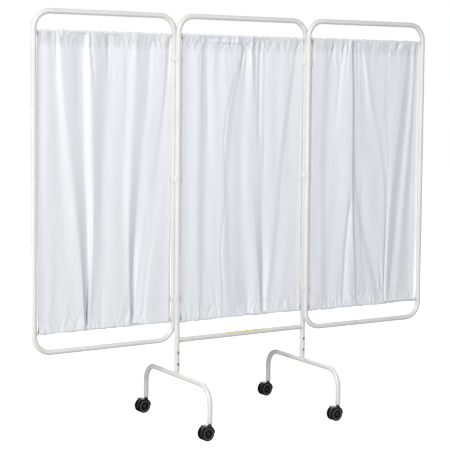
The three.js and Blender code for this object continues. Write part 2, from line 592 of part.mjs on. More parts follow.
// A foot with its spigot, bolts, nuts and castors, standing at x
function foot(prefix, x) {
  const group = new THREE.Group();
  group.position.x = x;
  group.add(makeMesh(`${prefix}_foot_arch`, footArch(), paint));
  group.add(makeMesh(`${prefix}_foot_spigot`, footSpigot(), steel));
  for (const [level, height] of [['upper', UPPER_BOLT_HEIGHT], ['lower', LOWER_BOLT_HEIGHT]]) {
    const bolt = makeMesh(`${prefix}_${level}_foot_bolt`, footBolt(), darkSteel);
    const nut = makeMesh(`${prefix}_${level}_foot_nut`, footNut(), darkSteel);
    bolt.position.z = height;
    nut.position.z = height;
    group.add(bolt, nut);
  }
  group.add(castor(`${prefix}_front`, -FOOT_HALF_DEPTH), castor(`${prefix}_rear`, FOOT_HALF_DEPTH));
  return group;
}

function castor(prefix, y) {
  const group = new THREE.Group();
  group.position.y = y;
  group.add(makeMesh(`${prefix}_castor_socket`, castorSocket(), clipPlastic));
  group.add(makeMesh(`${prefix}_castor_stem`, castorStem(), steel));
  const swivel = new THREE.Group();
  swivel.rotation.z = CASTOR_ANGLE;
  swivel.add(makeMesh(`${prefix}_castor_hood`, castorHood(), nylon));
  swivel.add(makeMesh(`${prefix}_castor_axle`, castorAxle(), steel));
  const inner = makeMesh(`${prefix}_castor_wheel_a`, castorWheel(), tread);
  const outer = makeMesh(`${prefix}_castor_wheel_b`, castorWheel(), tread);
  outer.rotation.z = Math.PI;
  outer.position.x = 2 * CASTOR_TRAIL;
  swivel.add(inner, outer);
  group.add(swivel);
  return group;
}

// Three clips on the upright that stands at x, turned about it
function hingeClips(prefix, x, angle) {
  const group = new THREE.Group();
  group.position.x = x;
  group.rotation.z = angle;
  const top = TOP_RAIL_HEIGHT - CLIP_INSET;
  const bottom = LOWER_RAIL_HEIGHT + CLIP_INSET;
  const heights = { top, middle: (top + bottom) / 2, bottom };
  for (const [level, height] of Object.entries(heights)) {
    const clip = makeMesh(`${prefix}_${level}_hinge_clip`, hingeClip(), clipPlastic);
    clip.position.z = height;
    group.add(clip);
  }
  return group;
}

const screen = new THREE.Group();
const leftX = -CENTRE_WIDTH / 2;
const rightX = CENTRE_WIDTH / 2;

const centre = new THREE.Group();
centre.position.x = leftX;
centre.add(makeMesh('centre_frame', centreFrame(), paint), makeMesh('centre_cross_bar', crossBar(), paint));
centre.add(...panelGoods('centre', CENTRE_WIDTH, CENTRE_FOLD_SHARES));
screen.add(centre, foot('left', leftX), foot('right', rightX));

screen.add(hingeClips('left', leftX, LEFT_CLIP_ANGLE), hingeClips('right', rightX, RIGHT_CLIP_ANGLE));

const leftWing = wing('left_wing', LEFT_FOLD_SHARES);
leftWing.position.x = leftX + HINGE_PITCH * Math.cos(LEFT_CLIP_ANGLE) - WING_WIDTH;
leftWing.position.y = HINGE_PITCH * Math.sin(LEFT_CLIP_ANGLE);
const rightWing = wing('right_wing', RIGHT_FOLD_SHARES);
rightWing.position.x = rightX + HINGE_PITCH * Math.cos(RIGHT_CLIP_ANGLE);
rightWing.position.y = HINGE_PITCH * Math.sin(RIGHT_CLIP_ANGLE);
rightWing.rotation.z = RIGHT_WING_TURN;
screen.add(leftWing, rightWing);

// The origin is the middle of the whole screen, on the floor
const bounds = new THREE.Box3().setFromObject(screen, true);
const middle = bounds.getCenter(new THREE.Vector3());
screen.position.set(-middle.x, -middle.y, -bounds.min.z);

export default screen;
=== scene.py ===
import json
import math

import bmesh
import bpy
import numpy as np
from bpy.props import FloatProperty, FloatVectorProperty, IntProperty, PointerProperty
from bpy.types import Operator, Panel, PropertyGroup
from mathutils import Matrix, Vector


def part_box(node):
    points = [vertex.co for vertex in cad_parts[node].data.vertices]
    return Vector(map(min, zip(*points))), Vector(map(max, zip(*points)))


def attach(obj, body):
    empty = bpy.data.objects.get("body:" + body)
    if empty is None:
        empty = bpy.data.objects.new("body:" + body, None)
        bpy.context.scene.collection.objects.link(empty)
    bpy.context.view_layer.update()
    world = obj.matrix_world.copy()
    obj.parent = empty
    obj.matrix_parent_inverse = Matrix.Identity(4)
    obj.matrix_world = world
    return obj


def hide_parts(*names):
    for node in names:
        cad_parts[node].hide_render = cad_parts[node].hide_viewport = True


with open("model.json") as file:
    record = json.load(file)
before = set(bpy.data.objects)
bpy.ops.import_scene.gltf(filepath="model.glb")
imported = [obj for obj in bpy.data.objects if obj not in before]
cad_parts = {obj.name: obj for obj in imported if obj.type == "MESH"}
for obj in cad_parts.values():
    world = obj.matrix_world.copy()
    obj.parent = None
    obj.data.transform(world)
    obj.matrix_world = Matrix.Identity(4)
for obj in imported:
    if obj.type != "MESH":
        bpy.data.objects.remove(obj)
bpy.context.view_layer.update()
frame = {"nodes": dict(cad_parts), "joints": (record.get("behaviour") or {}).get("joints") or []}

bl_info = {
    "name": "Ward privacy screen",
    "version": (1, 0, 0),
    "blender": (4, 5, 0),
    "location": "3D View > Sidebar > Ward screen",
    "description": "Dresses a folding ward screen on castors over its packed frame",
    "category": "Object",
}

# Sizes in metres that are measured on the frame

MM = 0.001
CAD_TUBE_SIDES = 12
CAD_ROD_SIDES = 8
SIDES = ("left", "right")
JOINTS = {joint["name"]: joint for joint in frame["joints"]}


def middle_of(node):
    """Middle of a node's box."""
    low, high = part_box(node)
    return (low + high) / 2


def size_of(node):
    """Extent of a node's box along each axis."""
    low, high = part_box(node)
    return high - low


def pivot_of(joint):
    """Place of a joint's axis."""
    return Vector(JOINTS[joint]["pos_m"])


TUBE_FLAT = size_of("centre_cross_bar").y / 2
TUBE_RADIUS = TUBE_FLAT / math.cos(math.pi / CAD_TUBE_SIDES)
ROD_RADIUS = size_of("centre_top_rod").y / 2 / math.cos(math.pi / CAD_ROD_SIDES)
TOP_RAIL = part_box("centre_frame")[1].z - TUBE_FLAT
LOWER_RAIL = middle_of("centre_cross_bar").z
TOP_ROD = middle_of("centre_top_rod").z
BOTTOM_ROD = middle_of("centre_bottom_rod").z
CENTRE_WIDTH = size_of("centre_frame").x - 2 * TUBE_FLAT
WING_WIDTH = size_of("left_wing_frame").x - 2 * TUBE_FLAT
UPRIGHT_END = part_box("centre_frame")[0].z
ARCH_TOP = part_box("left_foot_arch")[1].z - TUBE_FLAT
LEG_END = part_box("left_foot_arch")[0].z
FIRST_UPRIGHT = Vector((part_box("centre_frame")[0].x + TUBE_FLAT, middle_of("centre_cross_bar").y, 0))
WING_PIVOTS = {side: pivot_of(f"{side}_wing_swing") for side in SIDES}
END_SLICE = 2 * MM


def at(x, y, z, turn=0.0):
    """A place with a turn about Z."""
    return Matrix.Translation((x, y, z)) @ Matrix.Rotation(turn, 4, "Z")


def heading(across):
    """The turn about Z that takes +X to a direction on the floor."""
    return math.atan2(across.y, across.x)


def rod_line(panel, level="top"):
    """From one end of a panel's rod to the other."""
    points = np.array([v.co for v in frame["nodes"][f"{panel}_{level}_rod"].data.vertices])
    x = points[:, 0]
    first, last = (Vector(points[abs(x - edge) < END_SLICE].mean(0)) for edge in (x.min(), x.max()))
    return last - first


def panel_place(panel, width, axis, share=0):
    """A panel's place and width. Its first upright is the origin, +X goes to the other and -Y is in front."""
    turn = heading(rod_line(panel))
    start = Vector((axis.x, axis.y, 0)) - at(0, 0, 0, turn) @ Vector((share * width, 0, 0))
    return at(*start, turn), width


PANELS = {
    "centre": panel_place("centre", CENTRE_WIDTH, FIRST_UPRIGHT),
    "left_wing": panel_place("left_wing", WING_WIDTH, WING_PIVOTS["left"], 1),
    "right_wing": panel_place("right_wing", WING_WIDTH, WING_PIVOTS["right"]),
}
PANEL_BODY = {"centre": "root", "left_wing": "left_wing", "right_wing": "right_wing"}
UPRIGHTS = {"left": FIRST_UPRIGHT, "right": PANELS["centre"][0] @ Vector((CENTRE_WIDTH, 0, 0))}

# Lines of each curtain, left to right, in millimetres. Each has its places from the first upright at the knot
# heights, its depth to the front at the three depth heights, from the bottom up, and how sharp its crest is.
KNOT_HEIGHTS = (490, 640, 860, 1110, 1360, 1610)
DEPTH_HEIGHTS = (490, 1000, 1610)
LEFT_FOLDS = (
    ((0, 0, 0, 0, 0, 0), (0, 0, 0), 0.0),
    ((38, 36, 34, 30, 28, 30), (-1.5, -1.5, -1.5), 0.0),
    ((62, 60, 60, 58, 56, 56), (0, 0, 0), 0.0),
    ((100, 110, 116, 106, 93, 82), (-2, -2, -3), 0.0),
    ((217, 208, 187, 158, 131, 106), (5, 6, 5), 0.2),
    ((224, 229, 228, 213, 212, 212), (-32, -8, -6), 0.5),
    ((236, 248, 256, 256, 250, 240), (-3, 5, 7), 0.3),
    ((270, 285, 295, 305, 320, 325), (-4, -4, -4), 0.0),
    ((340, 345, 352, 370, 380, 382), (0, -1, -1), 0.0),
    ((385, 380, 380, 390, 400, 398), (0, -1, -1), 0.0),
    ((423, 420, 417, 431, 444, 450), (4, 5, 5), 0.3),
    ((429, 435, 450, 474, 500, 514), (-27, -4, -4), 0.4),
    ((446, 460, 494, 530, 570, 586), (-10, -0.5, 3), 0.1),
    ((480, 494, 520, 554, 586, 597), (-4, -1, -4), 0.0),
    ((500, 520, 558, 584, 598, 605), (0, 0, -6), 0.0),
    ((0, 0, 0, 0, 0, 0), (-2, -3, -9), 0.0),
)
CENTRE_FOLDS = (
    ((0, 0, 0, 0, 0, 0), (0, 0, 0), 0.0),
    ((42, 42, 42, 42, 42, 42), (-2, -2, -2), 0.0),
    ((104, 98, 94, 94, 96, 94), (2, 2, 2), 0.1),
    ((136, 134, 132, 132, 136, 132), (-2.5, -3, -3), 0.0),
    ((218, 220, 227, 226, 247, 318), (2.5, 3.5, 4), 0.3),
    ((286, 270, 256, 256, 284, 336), (0, -0.5, -2), 0.0),
    ((332, 320, 302, 308, 320, 349), (-9, -3, -3.5), 0.0),
    ((412, 400, 378, 372, 366, 360), (2, 2.5, 2), 0.2),
    ((428, 426, 418, 412, 406, 400), (-19, -2.5, -4), 0.4),
    ((444, 464, 485, 504, 541, 578), (-5, 2.5, 3), 0.1),
    ((466, 486, 510, 532, 566, 600), (-6, -1.5, -1), 0.0),
    ((520, 545, 575, 592, 602, 613), (0, 1, 0), 0.0),
    ((0, 0, 0, 0, 0, 0), (-1, -1, -2), 0.0),
)
RIGHT_FOLDS = (
    ((0, 0, 0, 0, 0, 0), (0, 0, 0), 0.0),
    ((78, 74, 66, 64, 70, 80), (0, 0, 0), 0.0),
    ((118, 112, 106, 104, 110, 120), (-5, -5, -5), 0.0),
    ((264, 256, 244, 240, 236, 230), (4, 7, 7), 0.3),
    ((280, 272, 260, 256, 252, 246), (-2, -2, -2), 0.1),
    ((304, 292, 278, 276, 276, 268), (-2.5, -2.5, -2), 0.0),
    ((334, 312, 298, 312, 310, 282), (-4.5, -5, -3), 0.0),
    ((422, 423, 426, 398, 337, 292), (-3, -1.5, 0), 0.3),
    ((430, 432, 436, 420, 364, 316), (-10, -4, -2.5), 0.1),
    ((442, 446, 456, 482, 512, 540), (-7, 0.5, 1), 0.1),
    ((464, 480, 502, 526, 550, 568), (-16, -10, -4), 0.1),
    ((506, 516, 534, 554, 574, 586), (-10, -5, -2), 0.1),
    ((566, 568, 572, 580, 586, 594), (-17, -10, -5), 0.0),
    ((596, 597, 599, 600, 600, 603), (-13, -9, -6), 0.0),
    ((0, 0, 0, 0, 0, 0), (-7, -6, -5), 0.0),
)

# Lesser creases in millimetres: (height, place) points from the top down, depth and half width
LEFT_CREASES = (
    (((1620, 92), (1560, 95), (1500, 98)), -4.5, 4),
    (((1620, 180), (1560, 184), (1300, 188)), -1.0, 8),
    (((1620, 216), (1570, 218), (1540, 216)), -3.5, 4),
    (((1620, 242), (1560, 247), (1450, 258)), -4.0, 4),
    (((1620, 318), (1560, 320), (1480, 318)), -3.0, 5),
    (((1620, 606), (1560, 602), (1440, 594)), -4.0, 6),
    (((1620, 341), (1450, 342)), -0.8, 6),
    (((1620, 366), (1400, 366)), -0.8, 6),
    (((1620, 404), (1300, 404)), -0.8, 6),
    (((1560, 512), (1400, 505), (1250, 490)), -1.0, 9),
    (((1500, 545), (1250, 530), (1100, 510)), -0.6, 8),
    (((700, 50), (480, 42)), -0.8, 8),
    (((800, 95), (480, 84)), -0.9, 9),
    (((600, 262), (480, 254)), -1.5, 6),
    (((560, 292), (470, 286)), -1.0, 6),
    (((900, 402), (600, 396)), -0.8, 8),
)
CENTRE_CREASES = (
    (((1620, 92), (1450, 100)), -1.0, 5),
    (((1620, 124), (1300, 118)), -1.8, 5),
    (((1620, 138), (1480, 136), (1200, 140)), -1.6, 5),
    (((1620, 160), (1560, 158)), -2.0, 4),
    (((1620, 176), (1500, 176)), -0.8, 6),
    (((1620, 312), (1560, 316), (1490, 304)), -3.6, 5),
    (((1620, 330), (1540, 332), (1470, 322)), -3.2, 5),
    (((1620, 372), (1560, 376), (1400, 378)), -3.4, 4),
    (((1620, 404), (1500, 396), (1200, 396)), -3.2, 5),
    (((1620, 428), (1560, 420)), -2.6, 4),
    (((1560, 426), (1300, 424), (1000, 426)), -1.2, 4),
    (((1100, 410), (900, 416), (700, 424)), -0.9, 6),
    (((1620, 612), (1540, 612)), -2.5, 5),
    (((620, 118), (450, 118)), -1.6, 5),
    (((480, 348), (446, 338)), -4.5, 5),
    (((1450, 272), (1300, 233), (1180, 222), (1000, 235), (900, 231), (820, 216), (720, 210), (560, 222),
      (480, 226)), -1.6, 4),
)
RIGHT_CREASES = (
    (((1620, 138), (1500, 108)), -1.2, 7),
    (((1620, 196), (1500, 170), (1400, 160), (1250, 146)), -1.8, 7),
    (((1620, 186), (1570, 182)), -3.0, 4),
    (((1620, 212), (1560, 208), (1500, 200)), -3.0, 4),
    (((1620, 236), (1570, 238), (1500, 240)), -4.5, 5),
    (((1620, 258), (1540, 262), (1450, 266)), -3.0, 5),
    (((1560, 276), (1450, 284), (1300, 300)), -1.2, 7),
    (((1600, 332), (1480, 336)), -0.8, 7),
    (((1620, 425), (1400, 430), (1300, 424)), -1.0, 8),
    (((1400, 470), (1300, 440)), -0.7, 7),
    (((900, 233), (860, 226), (700, 209), (470, 199)), -5.0, 6),
    (((1080, 262), (860, 290), (700, 334), (560, 378), (470, 400)), -4.5, 17),
    (((640, 398), (520, 412), (440, 420)), -2.5, 6),
    (((1300, 428), (1150, 446), (1000, 440), (880, 447)), -1.0, 6),
    (((760, 225), (560, 262), (470, 270)), -0.8, 9),
    (((760, 500), (560, 500), (470, 505)), -0.9, 10),
)

# Places with strewn wrinkles, in millimetres: middle, half extents, how many, then the ranges of their half
# lengths, half widths and depths, and how far they lean
EVERY_CURTAIN = (
    ((315, 1604), (300, 24), 84, (14, 38), (2.4, 5.0), (0.8, 2.4), 0.30),
    ((315, 1562), (300, 10), 28, (40, 110), (4, 8), (0.3, 1.1), 0.10),
    ((315, 460), (300, 24), 74, (12, 32), (2.4, 5.0), (0.7, 2.2), 0.40),
    ((315, 507), (300, 8), 24, (35, 100), (4, 8), (0.3, 1.0), 0.12),
    ((315, 1050), (290, 480), 24, (60, 200), (8, 20), (0.15, 0.4), 0.20),
)
LEFT_CRUMPLES = (
    ((455, 462), (28, 18), 10, (8, 18), (2.5, 4), (0.8, 1.6), 1.2),
    ((538, 1608), (26, 14), 8, (8, 18), (2.5, 4), (0.8, 1.6), 1.0),
)
CENTRE_CRUMPLES = (
    ((372, 462), (28, 18), 12, (8, 18), (2.5, 4), (0.8, 1.8), 1.4),
    ((345, 1600), (30, 18), 9, (9, 20), (2.5, 4.5), (0.8, 1.8), 1.0),
    ((232, 1602), (0, 0), 1, (4.5, 5), (74, 80), (3.6, 4.0), 0.0),
    ((410, 1596), (26, 20), 8, (10, 24), (2.5, 4.5), (0.8, 1.6), 0.5),
)
RIGHT_CRUMPLES = (
    ((140, 476), (26, 22), 9, (9, 20), (2.5, 4), (0.7, 1.5), 0.6),
    ((250, 474), (46, 26), 13, (9, 22), (2.5, 4.5), (0.7, 1.6), 0.6),
    ((408, 468), (18, 24), 8, (12, 26), (2.5, 4), (0.7, 1.6), 0.5),
    ((312, 1604), (38, 14), 10, (9, 20), (2.5, 4.5), (0.8, 1.7), 1.4),
    ((452, 1352), (24, 50), 8, (14, 34), (3.5, 6), (0.3, 0.7), 0.7),
)
CURTAIN_SHAPES = {
    "left_wing": (LEFT_FOLDS, LEFT_CREASES, EVERY_CURTAIN + LEFT_CRUMPLES),
    "centre": (CENTRE_FOLDS, CENTRE_CREASES, EVERY_CURTAIN + CENTRE_CRUMPLES),
    "right_wing": (RIGHT_FOLDS, RIGHT_CREASES, EVERY_CURTAIN + RIGHT_CRUMPLES),
}


# Settings that a user would change

def length(name, description, default, low=0.0, high=3.0):
    """A length property in metres."""
    return FloatProperty(name=name, description=description, default=default, min=low, max=high,
                         unit="LENGTH", subtype="DISTANCE", precision=4)


def colour(name, description, default):
    """A colour property."""
    return FloatVectorProperty(name=name, description=description, default=default, size=3, min=0, max=1,
                               subtype="COLOR")


def power(name, description, default):
    """The power of a light in watts."""
    return FloatProperty(name=name, description=description, default=default, unit="POWER")


class ScreenTubeSettings(PropertyGroup):
    """Sizes of the painted tubes and their fittings."""
    bend_radius: length("Bend radius", "Radius of the panel corners, at the tube's axis", 0.07)
    foot_bend_radius: length("Foot bend radius", "Radius of the foot arches' corners", 0.075)
    sides: IntProperty(name="Sides", description="Faces round a tube", default=40, min=8, max=96)
    bend_steps: IntProperty(name="Bend steps", description="Rings in a corner", default=20, min=4, max=64)
    bead_radius: length("Bead radius", "Radius of a weld bead", 0.0016)
    cradle_wall: length("Cradle wall", "Thickness of a rod cradle", 0.002)
    cradle_reach: length("Cradle reach", "How far a cradle stands off its upright", 0.006)


class ScreenCastorSettings(PropertyGroup):
    """Sizes of the castors."""
    hood_wall: length("Hood wall", "Thickness of the guard over the wheels", 0.0022)
    wheel_gap: length("Wheel gap", "Play between a wheel and the guard", 0.0012)
    tyre: length("Tyre", "Thickness of the tyre round a wheel", 0.0052)
    rim_width: length("Rim width", "Width of the raised ring round a wheel's face", 0.0052)
    dish: length("Dish", "Depth of a wheel's face below its rim", 0.0030)


class ScreenCurtainSettings(PropertyGroup):
    """Sizes of the curtains."""
    thickness: length("Cloth thickness", "Thickness of the cloth", 0.0005)
    top_seam: length("Top seam", "Depth of the top sleeve below its rod", 0.0465)
    bottom_seam: length("Bottom seam", "Depth of the bottom sleeve above its rod", 0.063)
    second_row: length("Second row", "Distance between the two rows of stitches of the top sleeve", 0.015)
    sleeve_gap: length("Sleeve gap", "From an upright's axis to the edge of a sleeve", 0.018)
    side_gap: length("Side gap", "From an upright's axis to the curtain's side edge", 0.0145)
    edge_turn: length("Edge turn", "How far the side edges turn to the back and the front", 0.0008)
    ruffle: length("Ruffle", "Height of the ruffles over a rod", 0.0042)
    pitch: length("Mesh pitch", "Width of a mesh column", 0.0027, low=0.001)
    body_rows: IntProperty(name="Body rows", description="Mesh rows between the sleeves", default=88, min=20)
    gather: FloatProperty(name="Gather", description="Flat width over hung width", default=1.22, min=1, max=3)
    stitch: length("Stitch", "Pitch of the stitches", 0.0036)
    seed: IntProperty(name="Seed", description="Seed of the wrinkles and ruffles", default=7, min=0)


class ScreenColourSettings(PropertyGroup):
    """Colours of the finishes."""
    paint: colour("Paint", "Powder coat of the tubes", (0.765, 0.757, 0.742))
    cloth: colour("Cloth", "Curtain cloth", (0.815, 0.83, 0.858))
    black: colour("Black plastic", "Wheel discs, bosses and collars", (0.012, 0.012, 0.011))
    clip: colour("White plastic", "Hinge clips and leg plugs", (0.775, 0.768, 0.75))
    strip: colour("Strip", "Foil strip on the cross bar", (0.80, 0.73, 0.28))


class ScreenStageSettings(PropertyGroup):
    """Light and floor."""
    floor: colour("Floor", "Floor and background", (0.65, 0.65, 0.65))
    glow: FloatProperty(name="Glow", description="How far the floor is burnt out to white", default=0.9)
    ambient: FloatProperty(name="Ambient", description="Strength of the light from all round", default=0.19)
    key: power("Key", "Power of the large soft light", 415.0)
    fill: power("Fill", "Power of the light in front", 25.0)
    back: power("Back", "Power of the light behind", 110.0)
    side: power("Side", "Power of the low light at the left", 18.0)


# Shapes: a list of points and a list of faces

ON_AXIS = 1e-7
BAR_SIDES = 24
ROUNDED_ANGLE = math.radians(30)
RIPPLE_SHARE = 0.12
RIPPLE_STEP = 2.1
ON_SIDE = Matrix.Rotation(math.pi / 2, 4, "X")


def moved(shape, matrix):
    """A shape with its points carried by a matrix."""
    points, faces = shape
    return np.asarray(points, float) @ np.array(matrix.to_3x3()).T + np.array(matrix.translation), faces


def joined(shapes):
    """Several shapes as one."""
    points = []
    faces = []
    for shape_points, shape_faces in shapes:
        start = len(points)
        points.extend(shape_points)
        faces.extend(tuple(i + start for i in face) for face in shape_faces)
    return np.array(points, float), faces


def turned(profile, sides):
    """A solid of revolution about Z from (radius, height) points that close, or begin and end on the axis."""
    angles = [2 * math.pi * i / sides for i in range(sides)]
    points = []
    rings = []
    for radius, height in profile:
        ring = [(radius * math.cos(a), radius * math.sin(a), height) for a in angles]
        if radius < ON_AXIS:
            ring = [(0, 0, height)]
        rings.append(range(len(points), len(points) + len(ring)))
        points += ring
    faces = []
    for low, high in zip(rings, rings[1:]):
        for i in range(sides):
            j = (i + 1) % sides
            ends = (low[i % len(low)], low[j % len(low)], high[j % len(high)], high[i % len(high)])
            corners = tuple(dict.fromkeys(ends))
            if len(corners) > 2:
                faces.append(corners)
    return np.array(points), faces


def capped(radius, low, high, ease):
    """The profile of a round bar along the axis with chamfered ends."""
    return [(0, low), (radius - ease, low), (radius, low + ease), (radius, high - ease),
            (radius - ease, high), (0, high)]


def extruded(outline, depth, rounding, steps=2):
    """A slab of a closed outline in X and Y, from z = 0 up to its depth, with its long edges rounded."""
    mesh = bmesh.new()
    face = mesh.faces.new([mesh.verts.new((x, y, 0)) for x, y in outline])
    top = bmesh.ops.extrude_face_region(mesh, geom=[face])["geom"]
    lifted = [item for item in top if isinstance(item, bmesh.types.BMVert)]
    bmesh.ops.translate(mesh, verts=lifted, vec=(0, 0, depth))
    mesh.normal_update()
    bmesh.ops.recalc_face_normals(mesh, faces=mesh.faces)
    edges = [e for e in mesh.edges if e.calc_face_angle(0) > ROUNDED_ANGLE]
    bmesh.ops.bevel(mesh, geom=edges, offset=rounding, segments=steps, profile=0.5, affect="EDGES",
                    clamp_overlap=True)
    mesh.verts.index_update()
    points = np.array([v.co for v in mesh.verts])
    faces = [tuple(v.index for v in f.verts) for f in mesh.faces]
    mesh.free()
    return points, faces


def bead(path, radius, sides=8):
    """A closed weld bead along a loop of points, with the ripples of its weld pool."""
    path = [Vector(p) for p in path]
    points = []
    faces = []
    count = len(path)
    for i, here in enumerate(path):
        along = (path[(i + 1) % count] - path[i - 1]).normalized()
        side = along.orthogonal().normalized()
        up = along.cross(side)
        size = radius * (1 + RIPPLE_SHARE * math.sin(i * RIPPLE_STEP))
        for k in range(sides):
            angle = 2 * math.pi * k / sides
            points.append(here + size * (math.cos(angle) * side + math.sin(angle) * up))
    for i in range(count):
        a, b = (range(ring * sides, (ring + 1) * sides) for ring in (i, (i + 1) % count))
        shift = min(range(sides), key=lambda s: (points[b[s]] - points[a[0]]).length)
        for k in range(sides):
            m = (k + 1) % sides
            faces.append((a[k], a[m], b[(m + shift) % sides], b[(k + shift) % sides]))
    return np.array(points), faces


def arc(centre, radius, start, end, steps):
    """Points of an arc in X and Y."""
    angles = [start + (end - start) * i / steps for i in range(steps + 1)]
    return [(centre[0] + radius * math.cos(a), centre[1] + radius * math.sin(a)) for a in angles]


# Nodes

def feed(tree, node, values):
    """Links each input of a node, by its name or number, to a socket, or sets it to a constant."""
    for name, value in values.items():
        if isinstance(value, bpy.types.NodeSocket):
            tree.links.new(value, node.inputs[name])
        else:
            node.inputs[name].default_value = value


def add_node(tree, kind, values=None, **properties):
    """A node with its properties set and its inputs fed."""
    node = tree.nodes.new(kind)
    for name, value in properties.items():
        setattr(node, name, value)
    feed(tree, node, values or {})
    return node


def add_inputs(tree, inputs):
    """Named inputs of a node group, each given by its default value or by the kind of its socket."""
    for name, value in inputs.items():
        kind = {float: "Float", int: "Int"}.get(type(value), value)
        item = tree.interface.new_socket(name=name, in_out="INPUT", socket_type=f"NodeSocket{kind}")
        if kind != value:
            item.default_value = value


def tree_named(name, maker):
    """The node group of this name, built the first time it is asked for."""
    return bpy.data.node_groups.get(name) or maker(name)


# Geometry Nodes

def new_geometry_tree(name, inputs):
    """A geometry tree and the sockets of its named inputs."""
    tree = bpy.data.node_groups.new(name, "GeometryNodeTree")
    add_inputs(tree, {"Geometry": "Geometry", **inputs, "Material": "Material"})
    tree.interface.new_socket(name="Geometry", in_out="OUTPUT", socket_type="NodeSocketGeometry")
    return tree, add_node(tree, "NodeGroupInput").outputs


def end_tree(tree, given, geometry):
    """Realize Instances, Set Material and the output, which end every tree."""
    real = add_node(tree, "GeometryNodeRealizeInstances", {"Geometry": geometry})
    paint = add_node(tree, "GeometryNodeSetMaterial", {
        "Geometry": real.outputs["Geometry"], "Material": given["Material"]})
    add_node(tree, "NodeGroupOutput", {"Geometry": paint.outputs["Geometry"]})
    return tree


def bent_tube_tree(name):
    """A round tube along a polyline, with its corners bent to a radius."""
    tree, given = new_geometry_tree(name, {
        "Tube Radius": 0.01, "Bend Radius": 0.07, "Bend Steps": 16, "Sides": 32})
    curve = add_node(tree, "GeometryNodeMeshToCurve", {"Mesh": given["Geometry"]})
    fillet = add_node(tree, "GeometryNodeFilletCurve", {
        "Curve": curve.outputs["Curve"], "Count": given["Bend Steps"],
        "Radius": given["Bend Radius"]}, mode="POLY")
    circle = add_node(tree, "GeometryNodeCurvePrimitiveCircle", {
        "Resolution": given["Sides"], "Radius": given["Tube Radius"]})
    tube = add_node(tree, "GeometryNodeCurveToMesh", {
        "Curve": fillet.outputs["Curve"], "Profile Curve": circle.outputs["Curve"], "Fill Caps": True})
    return end_tree(tree, given, tube.outputs["Mesh"])


def placed_copies_tree(name):
    """One copy of a template object at each point."""
    tree, given = new_geometry_tree(name, {"Template": "Object"})
    source = add_node(tree, "GeometryNodeObjectInfo", {"Object": given["Template"]})
    place = add_node(tree, "GeometryNodeInstanceOnPoints", {
        "Points": given["Geometry"], "Instance": source.outputs["Geometry"]})
    return end_tree(tree, given, place.outputs["Instances"])


def stitch_tree(name):
    """Stitches of thread at an even pitch along each polyline."""
    tree, given = new_geometry_tree(name, {
        "Pitch": 0.0036, "Stitch Length": 0.0026, "Thread Radius": 0.0003})
    curve = add_node(tree, "GeometryNodeMeshToCurve", {"Mesh": given["Geometry"]})
    spaced = add_node(tree, "GeometryNodeResampleCurve", {
        "Curve": curve.outputs["Curve"], "Length": given["Pitch"]}, mode="LENGTH")
    tangent = add_node(tree, "GeometryNodeInputTangent")
    align = add_node(tree, "FunctionNodeAlignRotationToVector", {
        "Vector": tangent.outputs["Tangent"]}, axis="X")
    grain = add_node(tree, "GeometryNodeMeshUVSphere", {"Segments": 6, "Rings": 4, "Radius": 1.0})
    half = math_node(tree, "MULTIPLY", given["Stitch Length"], 0.5)
    size = add_node(tree, "ShaderNodeCombineXYZ", {
        "X": half, "Y": given["Thread Radius"], "Z": given["Thread Radius"]})
    place = add_node(tree, "GeometryNodeInstanceOnPoints", {
        "Points": spaced.outputs["Curve"], "Instance": grain.outputs["Mesh"],
        "Rotation": align.outputs["Rotation"], "Scale": size.outputs["Vector"]})
    return end_tree(tree, given, place.outputs["Instances"])


def grown(tree, points, edges, values):
    """The shape that a tree makes from points and edges, with its inputs set by name."""
    mesh = bpy.data.meshes.new("seed")
    mesh.from_pydata([tuple(p) for p in points], edges, [])
    seed = add_object("seed", mesh)
    modifier = seed.modifiers.new("nodes", "NODES")
    modifier.node_group = tree
    for item in tree.interface.items_tree:
        if item.in_out == "INPUT" and item.name in values:
            modifier[item.identifier] = values[item.name]
    bpy.context.view_layer.update()
    made = evaluated_mesh(seed)
    co = np.zeros(len(made.vertices) * 3)
    made.vertices.foreach_get("co", co)
    faces = [tuple(face.vertices) for face in made.polygons]
    bpy.data.objects.remove(seed)
    bpy.data.meshes.remove(made)
    bpy.data.meshes.remove(mesh)
    return co.reshape(-1, 3), faces


def tube_shape(corners, radius, bend_radius, material):
    """A bent tube through corners, made by the Bent tube tree."""
    settings = bpy.context.scene.screen_tubes
    edges = [(i, i + 1) for i in range(len(corners) - 1)]
    return grown(tree_named("Bent tube", bent_tube_tree), corners, edges, {
        "Tube Radius": radius, "Bend Radius": bend_radius, "Bend Steps": settings.bend_steps,
        "Sides": settings.sides, "Material": material})


# Pieces

SMOOTH_ANGLE = math.radians(38)


def add_object(name, data):
    """A new object in the scene."""
    item = bpy.data.objects.new(name, data)
    bpy.context.scene.collection.objects.link(item)
    return item


def evaluated_mesh(item):
    """A new mesh of an object as its modifiers leave it."""
    return bpy.data.meshes.new_from_object(item.evaluated_get(bpy.context.evaluated_depsgraph_get()))


def build_mesh(name, parts):
    """One mesh from (shape, material) pairs, smooth but for its real edges."""
    points, faces = joined([shape for shape, _ in parts])
    mesh = bpy.data.meshes.new(name)
    mesh.from_pydata(points.tolist(), [], faces)
    slots = list(dict.fromkeys(material for _, material in parts))
    for material in slots:
        mesh.materials.append(material)
    index = np.concatenate([np.full(len(shape[1]), slots.index(material)) for shape, material in parts])
    mesh.polygons.foreach_set("material_index", index.astype(np.int32))
    mesh.polygons.foreach_set("use_smooth", np.ones(len(mesh.polygons), bool))
    edit = bmesh.new()
    edit.from_mesh(mesh)
    bmesh.ops.recalc_face_normals(edit, faces=edit.faces)
    edit.to_mesh(mesh)
    edit.free()
    mesh.set_sharp_from_angle(angle=SMOOTH_ANGLE)
    mesh.update()
    return mesh


